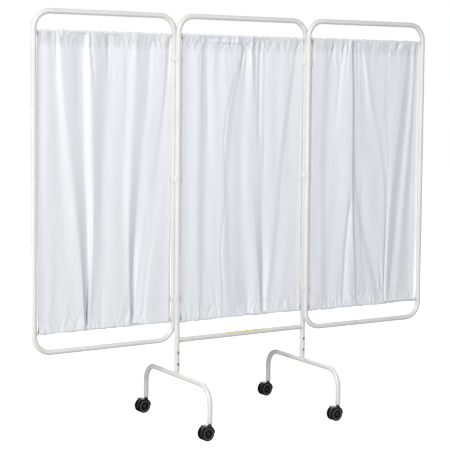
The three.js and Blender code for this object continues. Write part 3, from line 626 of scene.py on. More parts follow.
def add_piece(name, parts, body, slot, *replaced):
    """A finished piece that rides on a body and stands for CAD nodes."""
    return seated(add_object(name, build_mesh(name, parts)), body, slot, *replaced)


def seated(piece, body, slot, *replaced):
    """A piece with its body and the CAD nodes that it stands for. Its slot is not used."""
    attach(piece, body)
    if replaced:
        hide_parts(*replaced)
    return piece


# Shader groups

def new_shader_group(name, inputs, outputs):
    """A shader node group, the sockets of its named inputs, and its output node."""
    group = bpy.data.node_groups.new(name, "ShaderNodeTree")
    add_inputs(group, {"Vector": "Vector", **inputs})
    for output in outputs:
        group.interface.new_socket(name=output, in_out="OUTPUT", socket_type="NodeSocketFloat")
    return group, add_node(group, "NodeGroupInput").outputs, add_node(group, "NodeGroupOutput")


def math_node(tree, operation, first, second=0.0):
    """A Math node whose inputs are sockets or numbers."""
    return add_node(tree, "ShaderNodeMath", {0: first, 1: second}, operation=operation).outputs[0]


def noise_node(tree, vector, scale, detail, roughness=0.5):
    """A noise texture's factor."""
    return add_node(tree, "ShaderNodeTexNoise", {
        "Vector": vector, "Scale": scale, "Detail": detail, "Roughness": roughness}).outputs["Fac"]


def range_node(tree, value, low, high, to_low=0.0, to_high=1.0):
    """A smooth Map Range node that clamps."""
    return add_node(tree, "ShaderNodeMapRange", {
        "Value": value, "From Min": low, "From Max": high, "To Min": to_low, "To Max": to_high},
        interpolation_type="SMOOTHSTEP").outputs["Result"]


def mixed(tree, factor, first, second):
    """A colour mix whose colours are sockets or RGB tuples."""
    first, second = ((*value, 1) if isinstance(value, tuple) else value for value in (first, second))
    return add_node(tree, "ShaderNodeMix", {0: factor, 6: first, 7: second}, data_type="RGBA").outputs[2]


def surface_grain_group(name):
    """Moulding or coating grain: a fine bump, broad blotches and scattered specks."""
    group, given, out = new_shader_group(name, {"Grain Scale": 900.0, "Blotch Scale": 14.0},
                                         ("Height", "Blotch", "Speck"))
    fine = noise_node(group, given["Vector"], given["Grain Scale"], 2.0)
    broad = noise_node(group, given["Vector"], given["Blotch Scale"], 4.0, 0.6)
    fleck = noise_node(group, given["Vector"], 420.0, 1.0)
    feed(group, out, {"Height": fine, "Blotch": range_node(group, broad, 0.35, 0.65),
                      "Speck": range_node(group, fleck, 0.70, 0.78)})
    return group


def edge_wear_group(name):
    """Where edges are rubbed: sharp convex places, broken up by noise."""
    group, given, out = new_shader_group(name, {}, ("Wear",))
    geometry = add_node(group, "ShaderNodeNewGeometry")
    sharp = range_node(group, geometry.outputs["Pointiness"], 0.53, 0.60)
    broken = range_node(group, noise_node(group, given["Vector"], 120.0, 3.0), 0.42, 0.62)
    feed(group, out, {"Wear": math_node(group, "MULTIPLY", sharp, broken)})
    return group


def weave_group(name):
    """Plain weave on a map in metres: threads over and under, slubs, and a soft unevenness."""
    group, given, out = new_shader_group(name, {"Threads": 2200.0}, ("Height", "Slub", "Cloud"))
    split = add_node(group, "ShaderNodeSeparateXYZ", {"Vector": given["Vector"]}).outputs
    warp, weft = (math_node(group, "SINE", math_node(group, "MULTIPLY", split[axis], given["Threads"]))
                  for axis in ("X", "Y"))
    stretch = add_node(group, "ShaderNodeMapping", {"Vector": given["Vector"], "Scale": (60.0, 3.0, 1.0)})
    feed(group, out, {"Height": math_node(group, "MULTIPLY", warp, weft),
                      "Slub": noise_node(group, stretch.outputs["Vector"], 9.0, 3.0),
                      "Cloud": noise_node(group, given["Vector"], 7.0, 3.0)})
    return group


# Finishes

SPECK_SHARE = 0.08
DEEP_GRAIN = 0.2 * MM
FINE_GRAIN = 0.1 * MM
CLOTH_THREADS = 7000.0
AMBER = (0.66, 0.52, 0.10)


def new_material(name, constants):
    """A material, its tree, and its Principled shader with constants set on the shader's own sockets."""
    material = bpy.data.materials.new(name)
    material.use_nodes = True
    shader = material.node_tree.nodes["Principled BSDF"]
    feed(material.node_tree, shader, constants)
    return material, material.node_tree, shader


def place_group(tree, name, maker, values):
    """The outputs of a shader group placed in a material."""
    return add_node(tree, "ShaderNodeGroup", values, node_tree=tree_named(name, maker)).outputs


def add_bump(tree, shader, height, strength, distance=FINE_GRAIN):
    """Feeds a height into the shader's normal."""
    node = add_node(tree, "ShaderNodeBump", {"Strength": strength, "Distance": distance, "Height": height})
    feed(tree, shader, {"Normal": node.outputs["Normal"]})


def tint_of(field):
    """A colour from the settings."""
    return tuple(getattr(bpy.context.scene.screen_colours, field))


def shade(tint, share):
    """A colour made lighter or darker by a share."""
    return tuple(min(1.0, channel * share) for channel in tint)


def grained(name, constants, scales, tints, roughness, bump, share=1.0, speck=None, worn=None, over=None,
            depth=FINE_GRAIN):
    """A finish with fine grain and blotches of two tints, then any specks, rubbed edges and colour over."""
    material, tree, shader = new_material(name, constants)
    vector = add_node(tree, "ShaderNodeTexCoord").outputs["Object"]
    grain = place_group(tree, "Surface grain", surface_grain_group, {
        "Vector": vector, "Grain Scale": scales[0], "Blotch Scale": scales[1]})
    base = mixed(tree, math_node(tree, "MULTIPLY", grain["Blotch"], share), *tints)
    if speck:
        base = mixed(tree, math_node(tree, "MULTIPLY", grain["Speck"], SPECK_SHARE), base, speck)
    if worn:
        wear = place_group(tree, "Edge wear", edge_wear_group, {"Vector": vector})
        base = mixed(tree, wear["Wear"], base, worn)
    if over:
        base = over(tree, base)
    feed(tree, shader, {"Base Color": base, "Roughness": range_node(tree, grain["Blotch"], 0, 1, *roughness)})
    add_bump(tree, shader, grain["Height"], bump, depth)
    return material


def powder_coat():
    """Off-white powder coat with a faint orange peel and a few rubbed places."""
    tint = tint_of("paint")
    return grained("powder_coat", {"Coat Weight": 0.15, "Coat Roughness": 0.2}, (700.0, 9.0),
                   (shade(tint, 0.975), shade(tint, 1.02)), (0.34, 0.42), 0.12, speck=shade(tint, 0.6),
                   worn=shade(tint, 0.93), depth=DEEP_GRAIN)


def zinc_steel():
    """Zinc-plated steel with brighter rubbed edges."""
    return grained("zinc_steel", {"Metallic": 1.0}, (500.0, 40.0), ((0.55, 0.56, 0.57), (0.68, 0.69, 0.70)),
                   (0.25, 0.4), 0.1, worn=(0.8, 0.8, 0.8))


def black_steel():
    """Darkened steel of the foot bolts."""
    return grained("black_steel", {"Metallic": 0.85}, (900.0, 120.0),
                   ((0.27, 0.255, 0.235), (0.36, 0.34, 0.31)), (0.32, 0.5), 0.15, worn=(0.35, 0.34, 0.32))


def moulded(name, tint, dust_and_sheen, roughness, specular=0.5):
    """Moulded plastic with a fine spark texture and a paler tint in its blotches and on its edges: dust, and on
    the hood and wheel rings painted sheen.
    """
    return grained(name, {"IOR": 1.5, "Specular IOR Level": specular}, (1300.0, 60.0), (tint, dust_and_sheen),
                   (roughness, roughness + 0.12), 0.2, share=0.5, worn=dust_and_sheen)


def black_plastic():
    """Plastic of the wheel discs, bosses and collars."""
    return moulded("black_plastic", tint_of("black"), (0.05, 0.05, 0.048), 0.45, 0.3)


def rim_plastic():
    """Plastic of the raised ring of a wheel, paler than the disc: painted highlight along the ring."""
    return moulded("rim_plastic", (0.062, 0.062, 0.06), (0.09, 0.09, 0.088), 0.4)


def hood_plastic():
    """Plastic of a castor's hood, paler grey than the black parts: painted sheen where the hood's top catches
    the light.
    """
    return moulded("hood_plastic", (0.05, 0.051, 0.049), (0.10, 0.10, 0.097), 0.3)


def wheel_tread():
    """Dull plastic of a tyre."""
    return moulded("wheel_tread", (0.004, 0.004, 0.004), (0.012, 0.012, 0.011), 0.6, 0.1)


def white_plastic():
    """Plastic of the hinge clips and leg plugs."""
    return moulded("white_plastic", tint_of("clip"), shade(tint_of("clip"), 0.9), 0.4)


def sewing_thread():
    """Pale thread."""
    tint = tint_of("cloth")
    return grained("sewing_thread", {"Sheen Weight": 0.1}, (1500.0, 300.0),
                   (shade(tint, 0.86), shade(tint, 0.98)), (0.6, 0.75), 0.2)


def amber_line(tree, base):
    """The strip's colour with an amber line along its middle."""
    strip_map = add_node(tree, "ShaderNodeUVMap", uv_map="strip")
    split = add_node(tree, "ShaderNodeSeparateXYZ", {"Vector": strip_map.outputs["UV"]})
    offset = math_node(tree, "ABSOLUTE", math_node(tree, "SUBTRACT", split.outputs["Y"], 0.45))
    return mixed(tree, range_node(tree, offset, 0.12, 0.2, 1.0, 0.0), base, AMBER)


def foil_strip():
    """Plain yellow foil with an amber line along its middle, on a map of its own."""
    tint = tint_of("strip")
    return grained("foil_strip", {"Coat Weight": 0.3, "Coat Roughness": 0.15}, (800.0, 25.0),
                   (shade(tint, 0.94), shade(tint, 1.04)), (0.25, 0.4), 0.05, over=amber_line)


def curtain_cloth():
    """Plain-woven pale cloth with painted shade on the sleeves, darker where two layers let less light through.
    """
    tint = tint_of("cloth")
    material, tree, shader = new_material("curtain_cloth", {
        "Sheen Weight": 0.12, "Sheen Roughness": 0.5, "Specular IOR Level": 0.25})
    cut_map = add_node(tree, "ShaderNodeUVMap", uv_map="cut")
    weave = place_group(tree, "Plain weave", weave_group, {
        "Vector": cut_map.outputs["UV"], "Threads": CLOTH_THREADS})
    layers = add_node(tree, "ShaderNodeAttribute", attribute_name="layers")
    cloud = mixed(tree, weave["Cloud"], shade(tint, 0.985), shade(tint, 1.012))
    slub = mixed(tree, range_node(tree, weave["Slub"], 0.55, 0.8, 0.0, 0.35), cloud, shade(tint, 1.05))
    # Painted shade: the sleeve rows are darkened by their layers attribute.
    painted_sleeve_shade = mixed(tree, math_node(tree, "MULTIPLY", layers.outputs["Fac"], 0.6), slub, shade(tint, 0.88))
    rough = range_node(tree, weave["Cloud"], 0.3, 0.7, 0.82, 0.92)
    feed(tree, shader, {"Base Color": painted_sleeve_shade, "Roughness": rough})
    add_bump(tree, shader, weave["Height"], 0.25)
    return material


def finish(maker):
    """A finish, made the first time it is asked for. Its maker bears its name."""
    return bpy.data.materials.get(maker.__name__) or maker()


# Painted tubes

CRADLE_PLAY = 0.3 * MM
CRADLE_ROUNDING = 0.5 * MM
CRADLE_STEPS = 16
RAIL_JOINT = 0.15 * MM
BAR_TRIM = 0.05 * MM
BEAD_SPREAD_SHARE = 1.03
BEAD_LIFT_SHARE = 0.3


def rod_cradle():
    """An open-topped cradle for a rod end, from an upright's axis towards +X."""
    settings = bpy.context.scene.screen_tubes
    inner = ROD_RADIUS + CRADLE_PLAY
    outer = inner + settings.cradle_wall
    outline = [*arc((0, 0), outer, math.pi, 2 * math.pi, CRADLE_STEPS), (outer, ROD_RADIUS),
               (inner, ROD_RADIUS), *arc((0, 0), inner, 2 * math.pi, math.pi, CRADLE_STEPS),
               (-inner, ROD_RADIUS), (-outer, ROD_RADIUS)]
    slab = extruded(outline, TUBE_RADIUS + settings.cradle_reach, CRADLE_ROUNDING)
    return moved(slab, at(0, 0, 0, math.pi / 2) @ ON_SIDE)


def tee_bead(radius, bar_radius, steps=72):
    """The bead where a bar along +X meets an upright at the origin."""
    size = bpy.context.scene.screen_tubes.bead_radius
    path = []
    for i in range(steps):
        angle = 2 * math.pi * i / steps
        y = bar_radius * math.sin(angle)
        depth = math.sqrt(max(radius * radius - y * y, 0))
        rise = bar_radius * math.cos(angle)
        path.append((depth + BEAD_LIFT_SHARE * size, y * BEAD_SPREAD_SHARE, rise * BEAD_SPREAD_SHARE))
    return bead(path, size)


def inward(width, height):
    """Places on both uprights of a panel at a height, each with +X towards the other."""
    return at(0, 0, height), at(width, 0, height, math.pi)


def panel_fittings(width):
    """The rod cradles of a panel with their weld beads, in the panel's own place."""
    cradle = rod_cradle()
    weld = tee_bead(TUBE_RADIUS, ROD_RADIUS + CRADLE_PLAY + bpy.context.scene.screen_tubes.cradle_wall)
    places = [*inward(width, TOP_ROD), *inward(width, BOTTOM_ROD)]
    return [moved(shape, place) for place in places for shape in (cradle, weld)]


class SCREEN_OT_frames(Operator):
    """Make the centre frame, its cross bar and the two wing frames of bent tube"""
    bl_idname = "screen.frames"
    bl_label = "Frames"

    def execute(self, context):
        paint = finish(powder_coat)
        bend = context.scene.screen_tubes.bend_radius
        for panel, (place, width) in PANELS.items():
            corners = [(0, UPRIGHT_END), (0, TOP_RAIL), (width, TOP_RAIL), (width, UPRIGHT_END)]
            if panel != "centre":
                corners = [(width / 2 + RAIL_JOINT, LOWER_RAIL), (width, LOWER_RAIL), (width, TOP_RAIL),
                           (0, TOP_RAIL), (0, LOWER_RAIL), (width / 2 - RAIL_JOINT, LOWER_RAIL)]
            tube = tube_shape([(x, 0, z) for x, z in corners], TUBE_RADIUS, bend, paint)
            shape = moved(joined([tube, *panel_fittings(width)]), place)
            add_piece(f"{panel}_painted_frame", [(shape, paint)], PANEL_BODY[panel], "paint",
                      f"{panel}_frame")
        self.add_cross_bar(paint)
        return {"FINISHED"}

    def add_cross_bar(self, paint):
        """The cross bar from wall to wall of the uprights, with a bead at each end."""
        place, width = PANELS["centre"]
        inset = TUBE_RADIUS / 2
        ends = [(inset, 0, LOWER_RAIL), (width - inset, 0, LOWER_RAIL)]
        bar = tube_shape(ends, TUBE_RADIUS - BAR_TRIM, 0, paint)
        welds = [moved(tee_bead(TUBE_RADIUS, TUBE_RADIUS), end) for end in inward(width, LOWER_RAIL)]
        add_piece("painted_cross_bar", [(moved(joined([bar, *welds]), place), paint)], "root", "paint",
                  "centre_cross_bar")


class SCREEN_OT_feet(Operator):
    """Make the two foot arches and the spigots that stand in the uprights"""
    bl_idname = "screen.feet"
    bl_label = "Feet"

    def execute(self, context):
        paint = finish(powder_coat)
        for side, axis in UPRIGHTS.items():
            half = size_of(f"{side}_foot_arch").y / 2 - TUBE_FLAT
            corners = [(axis.x, axis.y + y, z) for y, z in (
                (half, LEG_END), (half, ARCH_TOP), (-half, ARCH_TOP), (-half, LEG_END))]
            arch = tube_shape(corners, TUBE_RADIUS, context.scene.screen_tubes.foot_bend_radius, paint)
            add_piece(f"{side}_painted_arch", [(arch, paint)], "root", "paint", f"{side}_foot_arch")
            self.add_spigot(side, axis, paint)
        return {"FINISHED"}

    def add_spigot(self, side, axis, paint):
        """A spigot from inside the arch into the upright, with the bead that joins it to the arch."""
        node = f"{side}_foot_spigot"
        radius = size_of(node).x / 2
        stem = tube_shape([(axis.x, axis.y, ARCH_TOP), (axis.x, axis.y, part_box(node)[1].z)], radius, 0, paint)
        on_arch = at(axis.x, axis.y, ARCH_TOP) @ Matrix.Rotation(-math.pi / 2, 4, "Y") @ ON_SIDE
        weld = moved(tee_bead(TUBE_RADIUS, radius), on_arch)
        add_piece(f"{side}_painted_spigot", [(joined([stem, weld]), paint)], "root", "paint", node)


# Rods, clips and bolts

CLIP_PLAY = 0.3 * MM
CLIP_WALL = 2.4 * MM
CLIP_ROUNDING = 0.45 * MM
CLIP_MOUTH = math.radians(50)
CLIP_STEPS = 20
ROD_CAP_SHARES = (0.7, 0.93, 1.0)
ROD_CAP_STARTS = (0, 0.4 * MM, 1.2 * MM)


class SCREEN_OT_rods(Operator):
    """Make the six curtain rods, each with a rounded cap on both ends"""
    bl_idname = "screen.rods"
    bl_label = "Curtain rods"

    def execute(self, context):
        steel = finish(zinc_steel)
        for panel, (place, width) in PANELS.items():
            for level, height in (("top", TOP_ROD), ("bottom", BOTTOM_ROD)):
                reach = rod_line(panel, level).length
                cap = [(ROD_RADIUS * share, start) for share, start in zip(ROD_CAP_SHARES, ROD_CAP_STARTS)]
                far_cap = [(radius, reach - start) for radius, start in reversed(cap)]
                at_end = at((width - reach) / 2, 0, height) @ Matrix.Rotation(math.pi / 2, 4, "Y")
                rod = moved(turned([(0, 0), *cap, *far_cap, (0, reach)], BAR_SIDES), place @ at_end)
                add_piece(f"{panel}_{level}_steel_rod", [(rod, steel)], PANEL_BODY[panel], "steel",
                          f"{panel}_{level}_rod")
        return {"FINISHED"}


def clip_outline(pitch):
    """Two open rings side by side along +X, joined where they touch."""
    bore = TUBE_RADIUS + CLIP_PLAY
    radius = bore + CLIP_WALL
    half = CLIP_MOUTH
    meet = math.acos(min(1.0, pitch / 2 / radius))
    return [
        *arc((pitch, 0), radius, half, math.pi - meet, CLIP_STEPS),
        *arc((0, 0), radius, meet, math.pi - half, CLIP_STEPS)[1:],
        *arc((0, 0), bore, math.pi - half, half - math.pi, 2 * CLIP_STEPS),
        *arc((0, 0), radius, half - math.pi, -meet, CLIP_STEPS),
        *arc((pitch, 0), radius, meet - math.pi, -half, CLIP_STEPS)[1:],
        *arc((pitch, 0), bore, -half, half - 2 * math.pi, 2 * CLIP_STEPS),
    ]


class SCREEN_OT_clips(Operator):
    """Make the three snap-on hinge clips of each wing"""
    bl_idname = "screen.clips"
    bl_label = "Hinge clips"

    def execute(self, context):
        plastic = finish(white_plastic)
        for side, axis in UPRIGHTS.items():
            across = (WING_PIVOTS[side] - axis).xy
            for level in ("top", "middle", "bottom"):
                node = f"{side}_{level}_hinge_clip"
                low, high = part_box(node)
                slab = extruded(clip_outline(across.length), high.z - low.z, CLIP_ROUNDING)
                place = at(axis.x, axis.y, low.z, heading(across))
                add_piece(f"{side}_{level}_snap_clip", [(moved(slab, place), plastic)], "root", "clip", node)
        return {"FINISHED"}


BOLT_HEAD = 5.5 * MM
BOLT_RISE = 3.3 * MM
BOLT_RIM = 0.9 * MM
BOLT_CROWN = math.radians(66)
BOLT_SHANK = 3 * MM
SOCKET_RADIUS = 2.3 * MM
SOCKET_DEPTH = 2 * MM
NUT_CORNER = 5.8 * MM
NUT_HEIGHT = 4.5 * MM
NUT_ROUNDING = 0.35 * MM
DOME_TRIM = 0.3 * MM
DOME_RISE = 3.5 * MM
DOME_BASE = 1 * MM


def bolt_template():
    """A button-head bolt along Y with a round socket, its head in front."""
    seat = TUBE_RADIUS
    floor = seat + BOLT_RISE - SOCKET_DEPTH
    tip = -seat - NUT_HEIGHT
    crown = [(BOLT_HEAD * math.cos(a), seat + BOLT_RIM + (BOLT_RISE - BOLT_RIM) * math.sin(a))
             for a in np.linspace(0, BOLT_CROWN, 9)]
    profile = [(0, floor), (SOCKET_RADIUS, floor), (SOCKET_RADIUS, crown[-1][1]), *reversed(crown),
               (BOLT_HEAD, seat), (BOLT_SHANK, seat), (BOLT_SHANK, tip), (0, tip)]
    return moved(turned(profile, BAR_SIDES), ON_SIDE)


def nut_template():
    """A dome nut along Y on the back of an upright."""
    seat = TUBE_RADIUS
    rim = seat + NUT_HEIGHT
    hexagon = arc((0, 0), NUT_CORNER, 0, 2 * math.pi, 6)[:-1]
    body = moved(extruded(hexagon, NUT_HEIGHT, NUT_ROUNDING), at(0, 0, seat))
    cap = NUT_CORNER * math.cos(math.pi / 6) - DOME_TRIM
    dome = [(cap * math.cos(a), rim + DOME_RISE * math.sin(a)) for a in np.linspace(0, math.pi / 2, 9)]
    profile = [(0, seat + DOME_BASE), (cap, seat + DOME_BASE), *dome[:-1], (0, rim + DOME_RISE)]
    return moved(joined([body, turned(profile, BAR_SIDES)]), Matrix.Rotation(-math.pi / 2, 4, "X"))


class SCREEN_OT_bolts(Operator):
    """Make the foot bolts and their dome nuts, one copy at each place"""
    bl_idname = "screen.bolts"
    bl_label = "Foot bolts"

    def execute(self, context):
        steel = finish(black_steel)
        tree = tree_named("Placed copies", placed_copies_tree)
        for kind, (template, faces) in (("bolt", bolt_template()), ("nut", nut_template())):
            mesh = bpy.data.meshes.new("template")
            mesh.from_pydata(template.tolist(), [], faces)
            source = add_object("template", mesh)
            for side, axis in UPRIGHTS.items():
                nodes = [f"{side}_{level}_foot_{kind}" for level in ("upper", "lower")]
                points = [(axis.x, axis.y, middle_of(node).z) for node in nodes]
                copies = grown(tree, points, [], {"Template": source, "Material": steel})
                add_piece(f"{side}_foot_{kind}s", [(copies, steel)], "root", "dark_steel", *nodes)
            bpy.data.objects.remove(source)
            bpy.data.meshes.remove(mesh)
        return {"FINISHED"}


# Castors

WHEEL_INNER_FACE = 7.6 * MM
HOOD_END = math.radians(118)
WEB_RADIUS = 23 * MM
WEB_PLAY = 0.6 * MM
WEB_ROUNDING = 0.8 * MM
GUARD_INSET = 0.3 * MM
GUARD_ROUNDING = 0.7 * MM
AXLE_RADIUS = 3 * MM
AXLE_INSET = 8 * MM
WHEEL_SIDES = 64
BOSS_SIDES = 40
COLLAR_SIDES = 32
HOOD_STEPS = 40
WEB_STEPS = 30
HOOD_BEVEL_STEPS = 3
PIN_RADIUS = 4 * MM
PIN_CHAMFER = 0.6 * MM
COLLAR_RADIUS = 6.5 * MM
COLLAR_CHAMFER = 0.3 * MM
COLLAR_RISE = 2.3 * MM
HUB_RADIUS = 7 * MM
BOSS_RADIUS = 8 * MM
PLUG_EDGE_PLAY = 0.1 * MM
PLUG_BORE_INSET = 1.7 * MM
PLUG_LIP = 0.35 * MM
PLUG_LIP_HEIGHT = 7 * MM

# Profiles of turned parts. Each point has a level across and one up, with the millimetres beyond it.
TYRE_PROFILE = (
    ("axis", 0, "inner", 0), ("tread", -1.2, "inner", 0), ("tread", -0.3, "inner", 0.5),
    ("tread", 0, "inner", 1.4), ("tread", 0, "outer", -3.2), ("tread", -0.35, "outer", -1.5),
    ("tread", -1.1, "outer", -0.5), ("tread", -2.2, "outer", -0.2), ("rim", 0.3, "outer", -0.4),
    ("rim", 0, "outer", -1.1), ("axis", 0, "outer", -1.1))
BAND_PROFILE = (
    ("ring", -1, "inner", 1), ("rim", 0, "inner", 1), ("rim", 0, "outer", -0.9),
    ("rim", -0.5, "outer", -0.15), ("rim", -1.2, "outer", 0), ("ring", 1.2, "outer", 0),
    ("ring", 0.3, "outer", -0.3), ("ring", -0.4, "outer", -0.9), ("ring", -1, "floor", 0),
    ("ring", -1, "inner", 1))
DISC_PROFILE = (
    ("axis", 0, "inner", 1), ("ring", -0.6, "inner", 1), ("ring", -0.6, "floor", 0.5),
    ("ring", -1.6, "floor", 0), ("hub", 6, "floor", -0.2), ("hub", 5.2, "floor", 0.6),
    ("hub", 3.4, "floor", 0.6), ("hub", 2.6, "floor", 0.1), ("hub", 0.5, "floor", 1.9),
    ("hub", 0, "outer", -0.4), ("hub", -0.8, "outer", -0.1), ("axis", 3.15, "outer", -0.1),
    ("axis", 2.66, "outer", -0.6), ("axis", 0, "outer", -0.6))
BOSS_PROFILE = (
    ("axis", 0, "top", -13.5), ("boss", 1.5, "top", -13.5), ("boss", 1.5, "top", -6),
    ("boss", 0.4, "top", -3.2), ("boss", 0, "top", -1.2), ("boss", -0.4, "top", -0.4),
    ("boss", -1.2, "top", 0), ("axis", 0, "top", 0))
PLUG_PROFILE = (
    ("axis", 0, "low", 0), ("lip", -1.2, "low", 0), ("lip", -0.4, "low", 0.3), ("lip", 0, "low", 0.9),
    ("lip", 0, "lip_top", -0.3), ("lip", -0.3, "lip_top", 0), ("edge", 0, "lip_top", 0),
    ("edge", 0, "flange", 0), ("bore", 0, "flange", 0), ("bore", 0, "high", -1), ("bore", -1, "high", 0),
    ("axis", 0, "high", 0))


def turned_profile(table, sides, **levels):
    """A solid of revolution from a profile table and its levels in metres."""
    levels["axis"] = 0
    return turned([(levels[across] + x * MM, levels[up] + z * MM) for across, x, up, z in table], sides)


def castor_place(castor):
    """The stem's axis on the floor with the trail along +X, the trail's length and the axle's height."""
    stem = pivot_of(f"{castor}_swivel")
    wheels = (pivot_of(f"{castor}_wheel_a_spin") + pivot_of(f"{castor}_wheel_b_spin")) / 2
    trail = Vector((wheels.x - stem.x, wheels.y - stem.y, 0))
    return at(stem.x, stem.y, 0, heading(trail)), trail.length, wheels.z


def wheel_shapes(radius, outer):
    """A castor wheel along +Z: a crowned tyre, a rim ring and a dished disc with a hub."""
    settings = bpy.context.scene.screen_castors
    rim = radius - settings.tyre
    levels = {"inner": WHEEL_INNER_FACE, "outer": outer, "floor": outer - settings.dish, "tread": radius,
              "rim": rim, "ring": rim - settings.rim_width, "hub": HUB_RADIUS}
    profiles = (TYRE_PROFILE, BAND_PROFILE, DISC_PROFILE)
    return [turned_profile(profile, WHEEL_SIDES, **levels) for profile in profiles]


def hood_shape(trail, radius, outer):
    """The hood about its stem: a guard over the wheels and a web between them."""
    settings = bpy.context.scene.screen_castors
    low = radius + settings.wheel_gap
    high = low + settings.hood_wall
    stand = at(trail, 0, radius, math.pi) @ ON_SIDE

    def slab(outline, half, rounding):
        solid = extruded(outline, 2 * half, rounding, HOOD_BEVEL_STEPS)
        return moved(moved(solid, at(0, 0, -half)), stand)

    middle = (low + high) / 2
    guard = [*arc((0, 0), high, 0, HOOD_END, HOOD_STEPS), *arc((0, 0), low, HOOD_END, 0, HOOD_STEPS)]
    web = [*arc((0, 0), middle, 0, HOOD_END, HOOD_STEPS),
           *arc((0, 0), WEB_RADIUS, math.pi, 2 * math.pi, WEB_STEPS)]
    return joined([slab(guard, outer - GUARD_INSET, GUARD_ROUNDING),
                   slab(web, WHEEL_INNER_FACE - WEB_PLAY, WEB_ROUNDING)])


class SCREEN_OT_castors(Operator):
    """Make the four swivel castors with their plugs, stems, hoods, axles and twin wheels"""
    bl_idname = "screen.castors"
    bl_label = "Castors"

    def execute(self, context):
        for side in SIDES:
            for end in ("front", "rear"):
                self.add_castor(f"{side}_{end}_castor")
        return {"FINISHED"}

    def add_castor(self, castor):
        """One castor at its leg."""
        place, trail, height = castor_place(castor)
        spread = (pivot_of(f"{castor}_wheel_a_spin") - pivot_of(f"{castor}_wheel_b_spin")).length / 2
        black, steel = finish(black_plastic), finish(zinc_steel)
        outer = 2 * spread - WHEEL_INNER_FACE
        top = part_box(f"{castor}_hood")[1].z
        hood = moved(hood_shape(trail, height, outer), place)
        boss = moved(turned_profile(BOSS_PROFILE, BOSS_SIDES, boss=BOSS_RADIUS, top=top), place)
        # The hood's paler finish is painted sheen.
        add_piece(f"{castor}_black_hood", [(hood, finish(hood_plastic)), (boss, black)], castor, "nylon",
                  f"{castor}_hood")
        for wheel, turn in (("a", 0), ("b", math.pi)):
            name = f"{castor}_wheel_{wheel}"
            axle = place @ (at(trail, 0, height, turn) @ ON_SIDE)
            tyre, band, disc = (moved(shape, axle) for shape in wheel_shapes(height, outer))
            # The ring's paler finish is painted highlight.
            parts = [(tyre, finish(wheel_tread)), (band, finish(rim_plastic)), (disc, black)]
            add_piece(f"{name}_tyre", parts, name, "tread", name)
        reach = outer - AXLE_INSET
        rod = turned(capped(AXLE_RADIUS, -reach, reach, PIN_CHAMFER), BAR_SIDES)
        rod = moved(rod, place @ (at(trail, 0, height) @ ON_SIDE))
        add_piece(f"{castor}_steel_axle", [(rod, steel)], castor, "steel", f"{castor}_axle")
        self.add_stem(castor, place, top, steel, black)
        self.add_plug(castor, place)

    def add_stem(self, castor, place, top, steel, black):
        """The stem with its black collar, which shows as a neck over the hood."""
        low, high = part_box(f"{castor}_stem")
        pin = turned(capped(PIN_RADIUS, low.z, high.z, PIN_CHAMFER), BAR_SIDES)
        ring = capped(COLLAR_RADIUS, top + COLLAR_CHAMFER, top + COLLAR_RISE, COLLAR_CHAMFER)
        collar = turned(ring, COLLAR_SIDES)
        add_piece(f"{castor}_steel_stem", [(moved(pin, place), steel), (moved(collar, place), black)], "root",
                  "steel", f"{castor}_stem")

    def add_plug(self, castor, place):
        """The flanged plug in the leg's end."""
        low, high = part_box(f"{castor}_socket")
        plug = turned_profile(
            PLUG_PROFILE, BOSS_SIDES, low=low.z, high=high.z, flange=LEG_END - PLUG_EDGE_PLAY,
            lip_top=LEG_END + PLUG_LIP_HEIGHT, bore=TUBE_RADIUS - PLUG_BORE_INSET,
            edge=TUBE_RADIUS - PLUG_EDGE_PLAY, lip=TUBE_RADIUS + PLUG_LIP)
        add_piece(f"{castor}_leg_plug", [(moved(plug, place), finish(white_plastic))], "root", "clip",
                  f"{castor}_socket")


# Curtains. Sizes with MM and settings are in metres, and the other sizes are in millimetres.

FOLD_LEAN = 0.62
LAYER_GAP = 0.45 * MM
SLEEVE_SLACK = 1.2 * MM
SLEEVE_EASE = 1.5 * MM
SLEEVE_CORE = ROD_RADIUS + 0.6 * MM
NEAR_SEAM = np.array((-4.5, -2, 0, 2, 4.5)) * MM
SEAM_MARGIN = 8 * MM
TOP_FLAP = 3 * MM
BOTTOM_FLAP = 4 * MM
ROW_EASE = 0.55
# Shares of painted shade for the rows of the sleeves, where two layers let less light through
TOP_LAYERS, SECOND_LAYERS, BOTTOM_LAYERS = 1.0, 0.5, 0.35
CRADLE_REACHES = (20 * MM, 70 * MM)
LEAST_COLUMNS = 6
FLAP_ROWS = 14
ROUND_ROWS = 9
TOP_FRONT_ROWS = 12
BOTTOM_FRONT_ROWS = 13
CLEAR_FALL = 1.5
EDGE_FADE = 12
CALM_HEIGHTS = (434, 494, 564, 1513, 1577, 1622)
CALM_SHARES = (0.6, 0.95, 1, 1, 0.9, 0.6)
CREASE_EASE = 2.4
CREASE_OVERRUN = 60
CREASE_FADE_LOW = 120
CREASE_FADE_HIGH = 80
WRINKLE_REACH = 2.4
HOLLOW_SHARE = 0.6
WAVE_COUNT = 7
WAVE_LENGTHS = (55, 160)
WAVE_SLANT = 0.12
SWELL_LENGTHS = (160, 420)
SWELL_SHIFT = 6
WAVE_DEPTH = 0.35
RUFFLE_KNOTS = 64
RUFFLE_RANGE = (-0.2, 1.1)
THREAD_LIFT = 0.1 * MM
THREAD_RADIUS = 0.28 * MM
STITCH_SHARE = 0.7


def hermite(t, start, rise, lead, tail):
    """A smooth step from a start, by a rise, with its slopes at both ends."""
    return (start + (3 * t ** 2 - 2 * t ** 3) * rise + (t ** 3 - 2 * t ** 2 + t) * lead
            + (t ** 3 - t ** 2) * tail)


